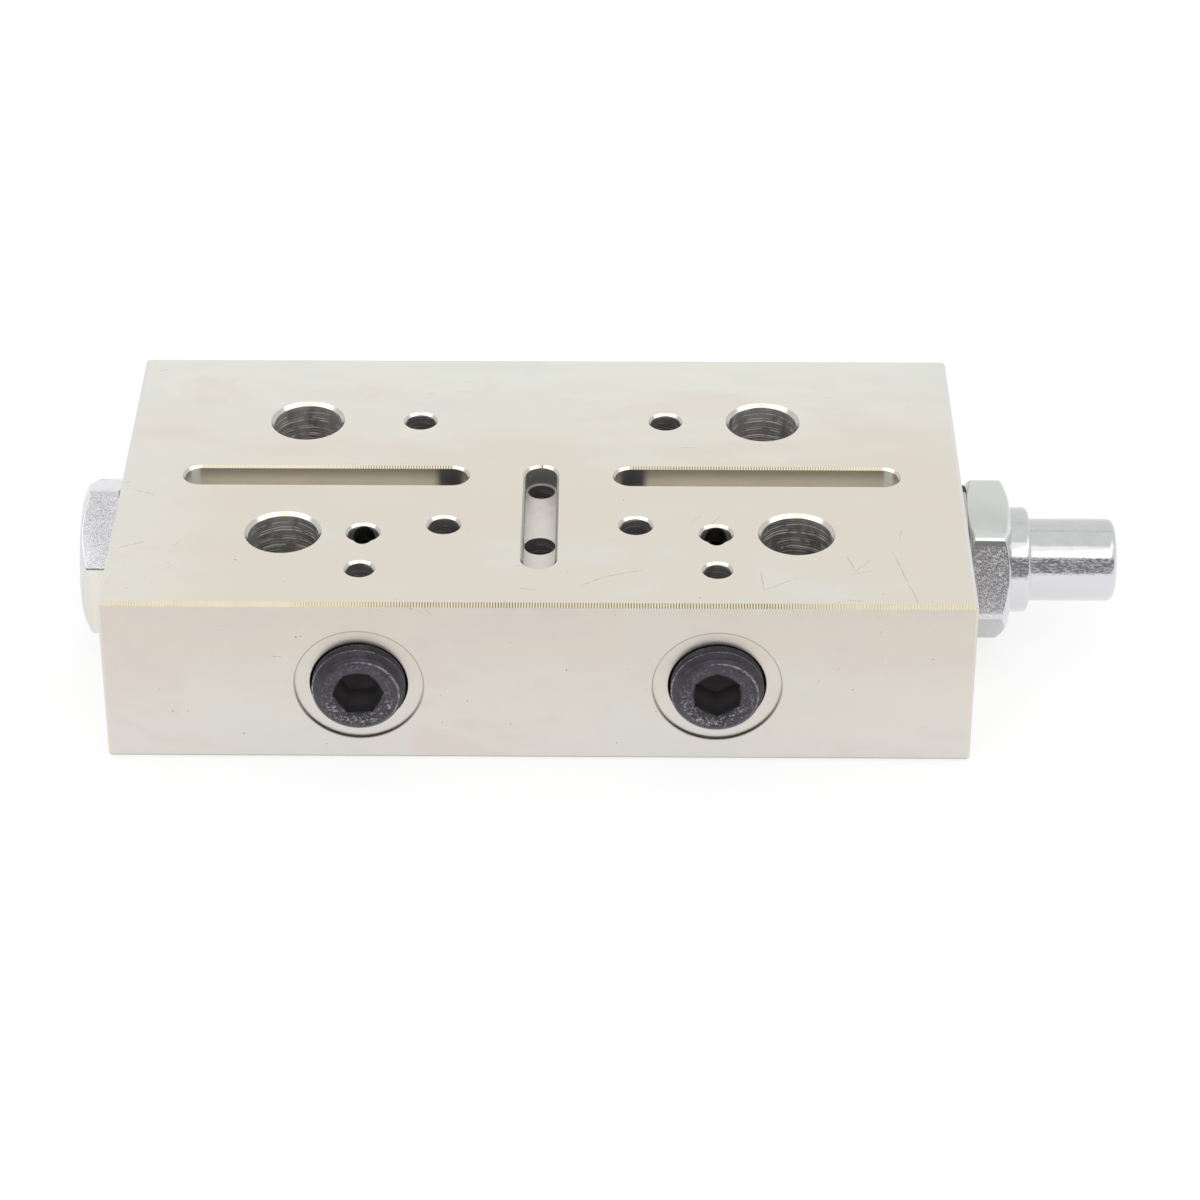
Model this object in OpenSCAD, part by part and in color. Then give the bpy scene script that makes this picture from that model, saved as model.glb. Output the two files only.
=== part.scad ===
// One section of a stacked progressive lubricant divider: a plated steel block with oil ports in its
// mating faces, a sliding metering piston across it, two plugged outlets and two hexagon end plugs.
// Millimetres. X runs along the piston towards the indicator nose, -Y is the outlet face, +Z is up.
// The origin is the middle of the underside.

/* [Block] */
// Length of the block, end face to end face
block_l = 123; // [118:0.5:135]
// Depth of the block, outlet face to back face
block_d = 68; // [65:0.5:76]
// Height of the block, underside to top face
block_h = 26.5; // [25:0.5:32]
// Chamfer along the edges of the two mating faces
edge_chamfer = 0.55; // [0.2:0.05:1]
// Chamfer along the four upright edges
corner_chamfer = 0.4; // [0.2:0.1:1]

/* [Tie-rod holes] */
// Bore of the four tie-rod holes
tie_bore = 10.1; // [9:0.1:11]
// Chamfer at both mouths of a tie-rod hole
tie_chamfer = 0.5; // [0.2:0.1:0.8]
// Distance from the front pair of tie-rod holes to the back pair
tie_row_pitch = 31; // [29:0.5:34]
// Distance between the two front tie-rod holes
tie_front_pitch = 73.6; // [71:0.2:80]
// Distance between the two back tie-rod holes
tie_back_pitch = 68.2; // [62:0.2:80]
// Sideways shift of the back pair, so that sections stack one way round only
tie_back_shift = -1.2; // [-2:0.1:2]

/* [Piston bore] */
// Bore that the piston slides in
bore_d = 12.7; // [11:0.1:13.5]
// Height of the bore's axis above the underside
bore_z = 12.25; // [12.15:0.05:13]
// Travel of the piston from stop to stop
stroke = 12.9; // [10:0.1:15]

/* [Supply slot] */
// Width of the supply slot
supply_w = 4.6; // [4.2:0.1:5]
// Depth of the supply slot
supply_depth = 3; // [2:0.1:4]
// Y of the round back end's centre, over the piston bore
supply_back_y = 0.4; // [-1:0.1:2]
// Y of the round front end's centre
supply_front_y = -22.3; // [-25:0.1:-18]
// Y of the supply hole that runs through the block
supply_through_y = -14.4; // [-17:0.1:-12]
// Supply hole that runs through the block
supply_through_d = 4.5; // [3.5:0.1:5]
// Feed hole from the supply slot to the piston bore
supply_feed_d = 3.8; // [3:0.1:3.9]
// Chamfer at the mouth of the feed hole, in the slot's floor
feed_chamfer = 0.1; // [0.05:0.05:0.2]

/* [Pilot slots] */
// Width of the two long pilot slots
pilot_w = 4.8; // [4:0.1:5.5]
// Depth of the two long pilot slots
pilot_depth = 3.4; // [3:0.1:5.5]
// Distance between the two pilot holes, at the slots' inner ends
pilot_pitch = 26.4; // [25:0.1:28]
// Pilot hole from a slot down to the piston bore
pilot_d = 3.8; // [3:0.1:3.9]
// Port from the underside to a piston end chamber
end_port_d = 3.8; // [3:0.1:4.4]
// Setback of an end port, and of a slot's outer end, from the end plug's inner face
end_port_setback = 4; // [3:0.1:5]

/* [Passages] */
// Chamfer at the mouths of the slots and small holes
hole_chamfer = 0.35; // [0.2:0.05:0.4]
// Bore of the four transfer holes that run through the block
transfer_d = 4.4; // [3.6:0.1:4.8]
// Distance between the two back transfer holes
transfer_back_pitch = 36.7; // [32:0.1:40]
// Distance between the two front transfer holes
transfer_front_pitch = 27.6; // [24:0.1:32]
// Y of the two front transfer holes
transfer_front_y = -13.4; // [-16:0.1:-11.5]
// Bore of the two upright risers behind the outlets
riser_d = 4.4; // [4:0.1:4.8]
// Slanted hole from a riser's mouth to the piston bore
slant_d = 3.2; // [2.6:0.1:3.3]
// Drop of the slanted hole's axis below the top face, at the riser's axis
slant_drop = 0.6; // [0.5:0.1:1.5]
// Bore of the two blind locating holes
locating_d = 3.8; // [3:0.1:4.2]
// Depth of the two blind locating holes
locating_depth = 5; // [3:0.1:5.5]
// Setback of the locating holes from the outlet face
locating_setback = 9; // [7:0.1:10]

/* [Outlets] */
// Distance between the two outlets
outlet_pitch = 50.6; // [49:0.1:52]
// Height of the outlets above the underside
outlet_z = 12.7; // [12:0.1:13.5]
// Diameter of the spotface round an outlet
spotface_d = 18.2; // [16:0.1:20]
// Depth of the spotface
spotface_depth = 0.4; // [0.2:0.1:1.2]
// Diameter of the tapered thread at the spotface
port_d = 13.6; // [13:0.1:13.9]
// Chamfer at the mouth of the thread
port_chamfer = 0.2; // [0.1:0.1:0.8]
// Depth of the tapered thread
port_depth = 13.5; // [12:0.5:14]
// Change of diameter per unit of length in the taper
port_taper = 0.0625; // [0.04:0.0025:0.08]
// Drilled way from the thread to the riser
outlet_drill = 5; // [4.8:0.1:6]

/* [Outlet plugs] */
// Length of an outlet plug
plug_l = 11; // [9:0.5:13]
// How far an outlet plug stands out of the spotface
plug_stand = 2.8; // [1.5:0.1:4]
// Chamfer round the outer end of an outlet plug
plug_chamfer = 1.2; // [0.3:0.1:1.4]
// Hexagon socket of an outlet plug, across flats
socket_af = 6.35; // [5:0.05:7]
// Depth of the hexagon socket
socket_depth = 6.2; // [4:0.1:7]
// Diameter of the countersink round the socket's mouth
socket_lead_d = 8.2; // [8.1:0.1:9]
// Turn of the left outlet plug's socket
plug_left_turn = 56; // [0:1:60]
// Turn of the right outlet plug's socket
plug_right_turn = 30; // [0:1:60]

/* [End plugs] */
// Thread of the end plugs
end_thread_d = 15.9; // [14.5:0.1:17]
// Length of thread in the block
end_thread_l = 7.6; // [6:0.1:9]
// Hexagon of the end plugs, across flats
hex_af = 21.1; // [19:0.1:21.1]
// Thickness of the left plug's hexagon
left_hex_t = 5.5; // [4:0.1:8]
// Thickness of the right plug's hexagon
right_hex_t = 6.7; // [4:0.1:8]
// Turn of the left plug's hexagon
left_hex_turn = 36.5; // [0:0.5:60]
// Turn of the right plug's hexagon
right_hex_turn = 12.5; // [0:0.5:60]
// Outer diameter of the sealing rings under the hexagons
seal_d = 22; // [19.5:0.5:23.5]
// Thickness of the sealing rings where the hexagons press on them
seal_t = 0.5; // [0.4:0.1:0.8]
// Thickness of the free rim of the ring under the chamfered hexagon
seal_rim_t = 0.85; // [0.8:0.05:1.5]

/* [Indicator nose] */
// Diameter of the collar next to the hexagon
collar_d = 15.6; // [14:0.1:18]
// Length of the collar
collar_l = 3.1; // [2:0.1:5]
// Rounding of the collar's outer edge
collar_round = 0.7; // [0.2:0.1:0.9]
// Diameter of the closed nose
nose_d = 12.2; // [10:0.1:13]
// Length of the closed nose beyond the collar
nose_l = 12.8; // [11:0.1:18]
// Rounding of the nose's end
nose_round = 1.1; // [0.3:0.1:1.5]
// Thickness of the nose's closed end
nose_end_t = 2.2; // [1.5:0.1:3]

/* [Piston and rod] */
// Diameter of the grooves between the piston's lands
groove_d = 8.4; // [7:0.1:9.5]
// Diameter of the stops on the piston's two ends
stop_d = 9; // [8:0.1:10]
// Overlap of an inner land past each side of its pilot hole
land_overlap = 0.5; // [0.2:0.1:0.9]
// Chamfer on the edges of the lands
land_chamfer = 0.2; // [0.1:0.05:0.3]
// Diameter of the indicator rod
rod_d = 6; // [4:0.1:6.5]
// Depth of the rod's seat in the piston
rod_seat = 8; // [5:0.5:12]

/* [Fits] */
// Radial clearance of the piston in its bore
piston_clearance = 0.03; // [0.01:0.01:0.1]
// Radial clearance of a thread in its hole
thread_clearance = 0.05; // [0.02:0.01:0.1]
// Radial room for the thread's form between an outlet plug and its port
plug_clearance = 0.2; // [0.05:0.05:0.3]
// Radial clearance of the rod inside the nose
rod_clearance = 0.35; // [0.3:0.05:0.6]
// Radial clearance of the rod in its seat
rod_fit = 0.02; // [0.01:0.01:0.05]
// Radial gap between a sealing ring's free rim and the hexagon's chamfer
seal_gap = 0.1; // [0.05:0.05:0.3]
// Gap left at each stop when the piston is at the end of its travel
stop_gap = 0.3; // [0.2:0.05:0.5]

/* [Hidden] */
$fn = 64;
hex_sides = 6;
// Overrun of a cut past the face that it opens in
cut = 1;
// Drill points have this height for each unit of radius
drill_point = 0.6;
// Height for each unit of radius of the chamfer cones on a hexagon, 30 degrees
hex_cone = tan(30);
// Part of the across-flats size that the hexagon's end faces keep
hex_face_share = 0.95;
// Part of the socket's across-flats size that its drill point has
socket_point_share = 0.94;
// Lead chamfer on the thread of an end plug
end_lead = 0.8;
front_y = -block_d/2;
tie_row_y = tie_row_pitch/2;
outlet_x = outlet_pitch/2;
pilot_x = pilot_pitch/2;
spotface_y = front_y + spotface_depth;
port_end_d = port_d - port_taper*port_depth;
plug_face_y = spotface_y - plug_stand;
plug_thread_d = port_d - 2*plug_clearance;
plug_inner_d = plug_thread_d - port_taper*(plug_l - plug_stand);
socket_point_d = socket_af*socket_point_share;
// Inner face of an end plug, which stops the piston
stop_x = block_l/2 - end_thread_l;
end_port_x = stop_x - end_port_setback;
hex_x = block_l/2 + seal_t;
hex_r = hex_af/2/cos(180/hex_sides);
hex_face_r = hex_af/2*hex_face_share;
// Chamfer cone of a hexagon, carried past the corners
hex_far_r = hex_r + cut;
hex_far_drop = (hex_far_r - hex_face_r)*hex_cone;
nose_tip_x = hex_x + right_hex_t + collar_l + nose_l;
rod_bore_d = rod_d + 2*rod_clearance;
rod_bore_end_x = nose_tip_x - nose_end_t;
// Piston stations, from the middle outwards
travel = stroke/2;
land_d = bore_d - 2*piston_clearance;
inner_land_a = pilot_x - pilot_d/2 - land_overlap;
inner_land_b = pilot_x + pilot_d/2 + land_overlap;
end_land_a = outlet_x + slant_d/2 + travel + land_overlap;
end_land_b = end_port_x - end_port_d/2 - travel;
piston_end = stop_x - travel - stop_gap;
rod_tip_x = rod_bore_end_x - travel - stop_gap;

plating = "#dedacd";
bright_zinc = "#c9ccd0";
black_oxide = "#34323a";
ground_steel = "#a9adb2";
seal_black = "#26262a";

// Turns a shape made along +Z so that it lies along +X
module along_x() {
    rotate([0, 90, 0]) children();
}

// Turns a shape made along +Z so that it lies along +Y
module along_y() {
    rotate([-90, 0, 0]) children();
}

// Places its children at +x and -x
module both_sides(x) {
    for (side = [-1, 1])
        translate([side*x, 0, 0]) children();
}

// Rectangle about the origin with its corners cut off
module cut_corner_rectangle(w, h, c) {
    polygon([[w/2, h/2 - c], [w/2 - c, h/2], [c - w/2, h/2], [-w/2, h/2 - c],
             [-w/2, c - h/2], [c - w/2, -h/2], [w/2 - c, -h/2], [w/2, c - h/2]]);
}

// Half section of a hole from z = 0 down, with a chamfered mouth and an overrun above it
module hole_section(d, depth, chamfer) {
    polygon([[0, cut], [d/2 + chamfer + cut, cut], [d/2, -chamfer], [d/2, -depth], [0, -depth]]);
}

// Hole from the top face down
module top_hole(d, depth, chamfer) {
    translate([0, 0, block_h]) rotate_extrude() hole_section(d, depth, chamfer);
}

// Hole right through the block, with a chamfer at both mouths
module through_hole(d, chamfer) {
    top_hole(d, block_h + cut, chamfer);
    mirror([0, 0, 1]) rotate_extrude() hole_section(d, block_h/2, chamfer);
}

// Full section of a slot, with the same mouth as a hole
module slot_section(w, depth, chamfer) {
    hole_section(w, depth, chamfer);
    mirror([1, 0]) hole_section(w, depth, chamfer);
}

// Slot in the top face with round ends, from x = a to x = b along the X axis
module top_slot(a, b, w, depth, chamfer) {
    translate([a, 0, 0]) top_hole(w, depth, chamfer);
    translate([b, 0, 0]) top_hole(w, depth, chamfer);
    translate([a, 0, block_h])
        rotate([90, 0, 90]) linear_extrude(b - a) slot_section(w, depth, chamfer);
}

// Block with all its outer edges chamfered
module blank() {
    intersection() {
        linear_extrude(block_h) cut_corner_rectangle(block_l, block_d, corner_chamfer);
        translate([-block_l/2, 0, block_h/2])
            rotate([90, 0, 90]) linear_extrude(block_l)
                cut_corner_rectangle(block_d, block_h, edge_chamfer);
        translate([0, block_d/2, block_h/2])
            rotate([90, 0, 0]) linear_extrude(block_d)
                cut_corner_rectangle(block_l, block_h, edge_chamfer);
    }
}

// Four tie-rod holes, the back pair set off to one side
module tie_rod_holes() {
    translate([0, -tie_row_y, 0])
        both_sides(tie_front_pitch/2) through_hole(tie_bore, tie_chamfer);
    translate([tie_back_shift, tie_row_y, 0])
        both_sides(tie_back_pitch/2) through_hole(tie_bore, tie_chamfer);
}

// Piston bore with the thread for an end plug at each end
module piston_bore() {
    translate([-block_l/2 - cut, 0, bore_z]) along_x() cylinder(d = bore_d, h = block_l + 2*cut);
    for (side = [0, 1])
        mirror([side, 0, 0]) translate([stop_x, 0, bore_z])
            along_x() cylinder(d = end_thread_d + 2*thread_clearance, h = end_thread_l + cut);
}

// Slot that spreads the supply, with its feed to the piston and its way through the block
module supply_ways() {
    rotate([0, 0, 90])
        top_slot(supply_front_y, supply_back_y, supply_w, supply_depth, hole_chamfer);
    floor_z = block_h - supply_depth;
    translate([0, supply_back_y, bore_z])
        cylinder(d = supply_feed_d, h = floor_z - bore_z + cut);
    translate([0, supply_back_y, floor_z - feed_chamfer])
        cylinder(d1 = supply_feed_d, d2 = supply_feed_d + 2*feed_chamfer, h = feed_chamfer);
    translate([0, supply_through_y, -cut])
        cylinder(d = supply_through_d, h = floor_z + 2*cut);
    translate([0, supply_through_y, 0])
        mirror([0, 0, 1]) rotate_extrude() hole_section(supply_through_d, cut, hole_chamfer);
}

// Long slots that lead the pilot oil outwards, and the ports of the piston's end chambers
module pilot_ways() {
    for (side = [0, 1])
        mirror([side, 0, 0]) {
            top_slot(pilot_x, end_port_x, pilot_w, pilot_depth, hole_chamfer);
            translate([pilot_x, 0, bore_z])
                cylinder(d = pilot_d, h = block_h - pilot_depth - bore_z + cut);
            translate([end_port_x, 0, 0])
                mirror([0, 0, 1]) rotate_extrude() hole_section(end_port_d, bore_z, hole_chamfer);
        }
}

// Holes that pass oil from one section of the stack to the next
module transfer_holes() {
    translate([0, tie_row_y, 0])
        both_sides(transfer_back_pitch/2) through_hole(transfer_d, hole_chamfer);
    translate([0, transfer_front_y, 0])
        both_sides(transfer_front_pitch/2) through_hole(transfer_d, hole_chamfer);
}

// Tapered outlet, its way to the riser, and the slanted hole from the riser's mouth to the bore
module outlet_ways() {
    translate([0, front_y, outlet_z]) along_y() {
        translate([0, 0, -cut]) cylinder(d = spotface_d, h = cut + spotface_depth);
        translate([0, 0, spotface_depth]) {
            cylinder(d1 = port_d, d2 = port_end_d, h = port_depth);
            cylinder(d1 = port_d + 2*port_chamfer, d2 = port_d, h = port_chamfer);
        }
        cylinder(d = outlet_drill, h = block_d/2 - tie_row_y + outlet_drill/2);
    }
    translate([0, -tie_row_y, 0]) top_hole(riser_d, block_h - outlet_z, hole_chamfer);
    slant_rise = block_h - slant_drop - bore_z;
    slant_angle = atan2(tie_row_y, slant_rise);
    slant_l = norm([tie_row_y, slant_rise]);
    translate([0, 0, bore_z]) rotate([slant_angle, 0, 0])
        cylinder(d = slant_d, h = slant_l + slant_d);
}

// Blind hole with a drill point, for a locating pin
module locating_hole() {
    top_hole(locating_d, locating_depth, hole_chamfer);
    point_h = drill_point*locating_d/2;
    translate([0, 0, block_h - locating_depth - point_h])
        cylinder(d1 = 0, d2 = locating_d, h = point_h);
}

module valve_block() {
    color(plating) difference() {
        blank();
        tie_rod_holes();
        piston_bore();
        supply_ways();
        pilot_ways();
        transfer_holes();
        both_sides(outlet_x) outlet_ways();
        translate([0, front_y + locating_setback, 0]) both_sides(outlet_x) locating_hole();
    }
}

// Half section of a land of the piston from a to b along the axis, with its edges chamfered
module land_section(a, b) {
    r = land_d/2;
    polygon([[0, a], [r - land_chamfer, a], [r, a + land_chamfer],
             [r, b - land_chamfer], [r - land_chamfer, b], [0, b]]);
}

// Spool with an end land and an inner land on each side of the supply groove
module metering_piston() {
    color(ground_steel) translate([0, 0, bore_z]) along_x() difference() {
        rotate_extrude() {
            translate([0, -end_land_b]) square([groove_d/2, 2*end_land_b]);
            translate([0, -piston_end]) square([stop_d/2, piston_end - end_land_a]);
            translate([0, end_land_a]) square([stop_d/2, piston_end - end_land_a]);
            for (side = [0, 1])
                mirror([0, side]) {
                    land_section(inner_land_a, inner_land_b);
                    land_section(end_land_a, end_land_b);
                }
        }
        translate([0, 0, piston_end - rod_seat])
            cylinder(d = rod_d + 2*rod_fit, h = rod_seat + cut);
    }
}

// Rod that follows the piston inside the closed nose
module indicator_rod() {
    color(ground_steel) translate([piston_end - rod_seat, 0, bore_z]) along_x()
        rotate_extrude() {
            rod_l = rod_tip_x - piston_end + rod_seat;
            c = rod_d/8;
            polygon([[0, 0], [rod_d/2, 0], [rod_d/2, rod_l - c], [rod_d/2 - c, rod_l], [0, rod_l]]);
        }
}

// Round envelope from z = 0 to z = t that chamfers a hexagon's end at z = t
module hex_envelope(t) {
    rotate_extrude()
        polygon([[0, 0], [hex_far_r, 0], [hex_far_r, t - hex_far_drop], [hex_face_r, t], [0, t]]);
}

// Hexagon from z = 0 to z = t with its outer end chamfered at 30 degrees
module chamfered_hex(t, turn) {
    intersection() {
        rotate([0, 0, turn]) cylinder(r = hex_r, h = t, $fn = hex_sides);
        hex_envelope(t);
    }
}

// The same hexagon with its inner end chamfered as well
module double_chamfered_hex(t, turn) {
    intersection() {
        chamfered_hex(t, turn);
        translate([0, 0, t]) mirror([0, 0, 1]) hex_envelope(t);
    }
}

// Threaded end of an end plug, from the seal's outer face inwards
module end_thread() {
    translate([0, 0, -seal_t - end_thread_l])
        cylinder(d1 = end_thread_d - 2*end_lead, d2 = end_thread_d, h = end_lead);
    translate([0, 0, end_lead - seal_t - end_thread_l])
        cylinder(d = end_thread_d, h = seal_t + end_thread_l - end_lead + cut);
}

module left_end_plug() {
    color(bright_zinc) mirror([1, 0, 0]) translate([hex_x, 0, bore_z]) along_x() {
        chamfered_hex(left_hex_t, left_hex_turn + 90);
        end_thread();
    }
}

// Collar and closed nose, turned in one with the hexagon, whose outer face is at z = 0
module nose() {
    rotate_extrude() {
        square([collar_d/2 - collar_round, collar_l]);
        translate([0, -cut]) square([collar_d/2, collar_l - collar_round + cut]);
        translate([collar_d/2 - collar_round, collar_l - collar_round])
            intersection() {
                circle(collar_round);
                square(collar_round);
            }
        square([nose_d/2, collar_l + nose_l - nose_round]);
        square([nose_d/2 - nose_round, collar_l + nose_l]);
        translate([nose_d/2 - nose_round, collar_l + nose_l - nose_round])
            intersection() {
                circle(nose_round);
                square(nose_round);
            }
    }
}

module indicator_plug() {
    color(bright_zinc) translate([0, 0, bore_z]) difference() {
        translate([hex_x, 0, 0]) along_x() {
            double_chamfered_hex(right_hex_t, right_hex_turn + 90);
            end_thread();
            translate([0, 0, right_hex_t]) nose();
        }
        translate([stop_x - cut, 0, 0]) along_x()
            cylinder(d = rod_bore_d, h = rod_bore_end_x - stop_x + cut);
    }
}

// Sealing ring on the block's end face, pressed flat by the hexagon, with a free rim of its own thickness
module seal_ring(rim_t) {
    swell = rim_t - seal_t + cut;
    color(seal_black) translate([block_l/2, 0, bore_z]) along_x() difference() {
        cylinder(d = seal_d, h = rim_t);
        translate([0, 0, -cut]) cylinder(d = end_thread_d + 2*thread_clearance, h = rim_t + 2*cut);
        translate([0, 0, seal_t])
            cylinder(r1 = hex_face_r + seal_gap, r2 = hex_face_r + seal_gap + swell/hex_cone, h = swell);
    }
}

module left_end_seal() {
    mirror([1, 0, 0]) seal_ring(seal_t);
}

module indicator_plug_seal() {
    seal_ring(seal_rim_t);
}

// Tapered plug with a hexagon socket, standing out of its spotface
module outlet_plug(turn) {
    socket_r = socket_af/2/cos(180/hex_sides);
    lead_h = (socket_lead_d/2 - socket_r)*hex_cone + hex_cone;
    color(black_oxide) translate([0, plug_face_y, outlet_z]) along_y() difference() {
        rotate_extrude()
            polygon([[0, 0], [plug_thread_d/2 - plug_chamfer, 0], [plug_thread_d/2, plug_chamfer],
                     [plug_thread_d/2, plug_stand], [plug_inner_d/2, plug_l], [0, plug_l]]);
        rotate([0, 0, turn]) translate([0, 0, -cut])
            cylinder(r = socket_r, h = socket_depth + cut, $fn = hex_sides);
        cylinder(d1 = socket_lead_d, d2 = socket_lead_d - 2*lead_h/hex_cone, h = lead_h);
        translate([0, 0, socket_depth])
            cylinder(d1 = socket_point_d, d2 = 0, h = drill_point*socket_point_d/2);
    }
}

module left_outlet_plug() {
    translate([-outlet_x, 0, 0]) outlet_plug(plug_left_turn);
}

module right_outlet_plug() {
    translate([outlet_x, 0, 0]) outlet_plug(plug_right_turn);
}

valve_block();
metering_piston();
indicator_rod();
left_end_plug();
left_end_seal();
indicator_plug();
indicator_plug_seal();
left_outlet_plug();
right_outlet_plug();
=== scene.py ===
"""Looks of one section of a stacked lubricant divider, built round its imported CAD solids.

The block, piston, rod and seals keep their CAD meshes and get worked finishes. The outlet plugs and
the two hexagon end plugs are modelled again here with real threads and softened edges.
"""

import logging
import math
from dataclasses import dataclass
from enum import Enum
from typing import ClassVar, Optional, Sequence, Union

import bpy
from mathutils import Matrix, Vector


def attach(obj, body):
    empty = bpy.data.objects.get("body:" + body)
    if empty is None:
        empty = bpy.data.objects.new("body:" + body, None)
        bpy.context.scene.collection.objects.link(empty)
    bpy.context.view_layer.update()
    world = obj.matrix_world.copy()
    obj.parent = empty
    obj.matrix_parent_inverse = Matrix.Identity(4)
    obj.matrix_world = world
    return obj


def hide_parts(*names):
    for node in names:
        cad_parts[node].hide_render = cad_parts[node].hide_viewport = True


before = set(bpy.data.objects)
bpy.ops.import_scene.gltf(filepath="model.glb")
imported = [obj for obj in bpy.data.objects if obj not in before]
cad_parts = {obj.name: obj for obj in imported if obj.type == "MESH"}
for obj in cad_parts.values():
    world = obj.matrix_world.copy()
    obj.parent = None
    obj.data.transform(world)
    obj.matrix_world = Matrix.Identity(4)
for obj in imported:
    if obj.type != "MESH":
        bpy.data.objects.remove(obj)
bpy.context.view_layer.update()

LOG = logging.getLogger("divider_block")
MM = 0.001
PHOTO_SIDE = 1200.0
HOUSING = "housing"
MERGE = 1e-7
HEX_COS = math.cos(math.pi / 6)
CHAMFER_SLOPE = math.tan(math.radians(30))

Colour = tuple[float, float, float]
Socket = bpy.types.NodeSocket
Value = Union[Socket, float]
Station = tuple[float, float]
Scratch = tuple[float, float, float, float]


class Slot(Enum):
    """Finish kinds that the pieces modelled here are marked with; nothing reads these marks."""

    ZINC = "bright_zinc"
    BLACK = "black_oxide"


class Axis(Enum):
    """Directions that a turned piece can lie along, as unit vectors."""

    X = (1.0, 0.0, 0.0)
    Y = (0.0, 1.0, 0.0)


class Cut(Enum):
    """Boolean operations between two pieces."""

    KEEP_COMMON = "INTERSECT"
    ADD = "UNION"
    TAKE_AWAY = "DIFFERENCE"


@dataclass(frozen=True)
class BlockSizes:
    """Sizes of the block in millimetres, as in the CAD source."""

    length: float = 123.0
    depth: float = 68.0
    height: float = 26.5
    bore_height: float = 12.25
    outlet_x: float = 25.3
    outlet_height: float = 12.7
    spotface_radius: float = 9.1
    tie_rod_x: float = 35.8
    tie_rod_y: float = 15.5


BLOCK = BlockSizes()


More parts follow.
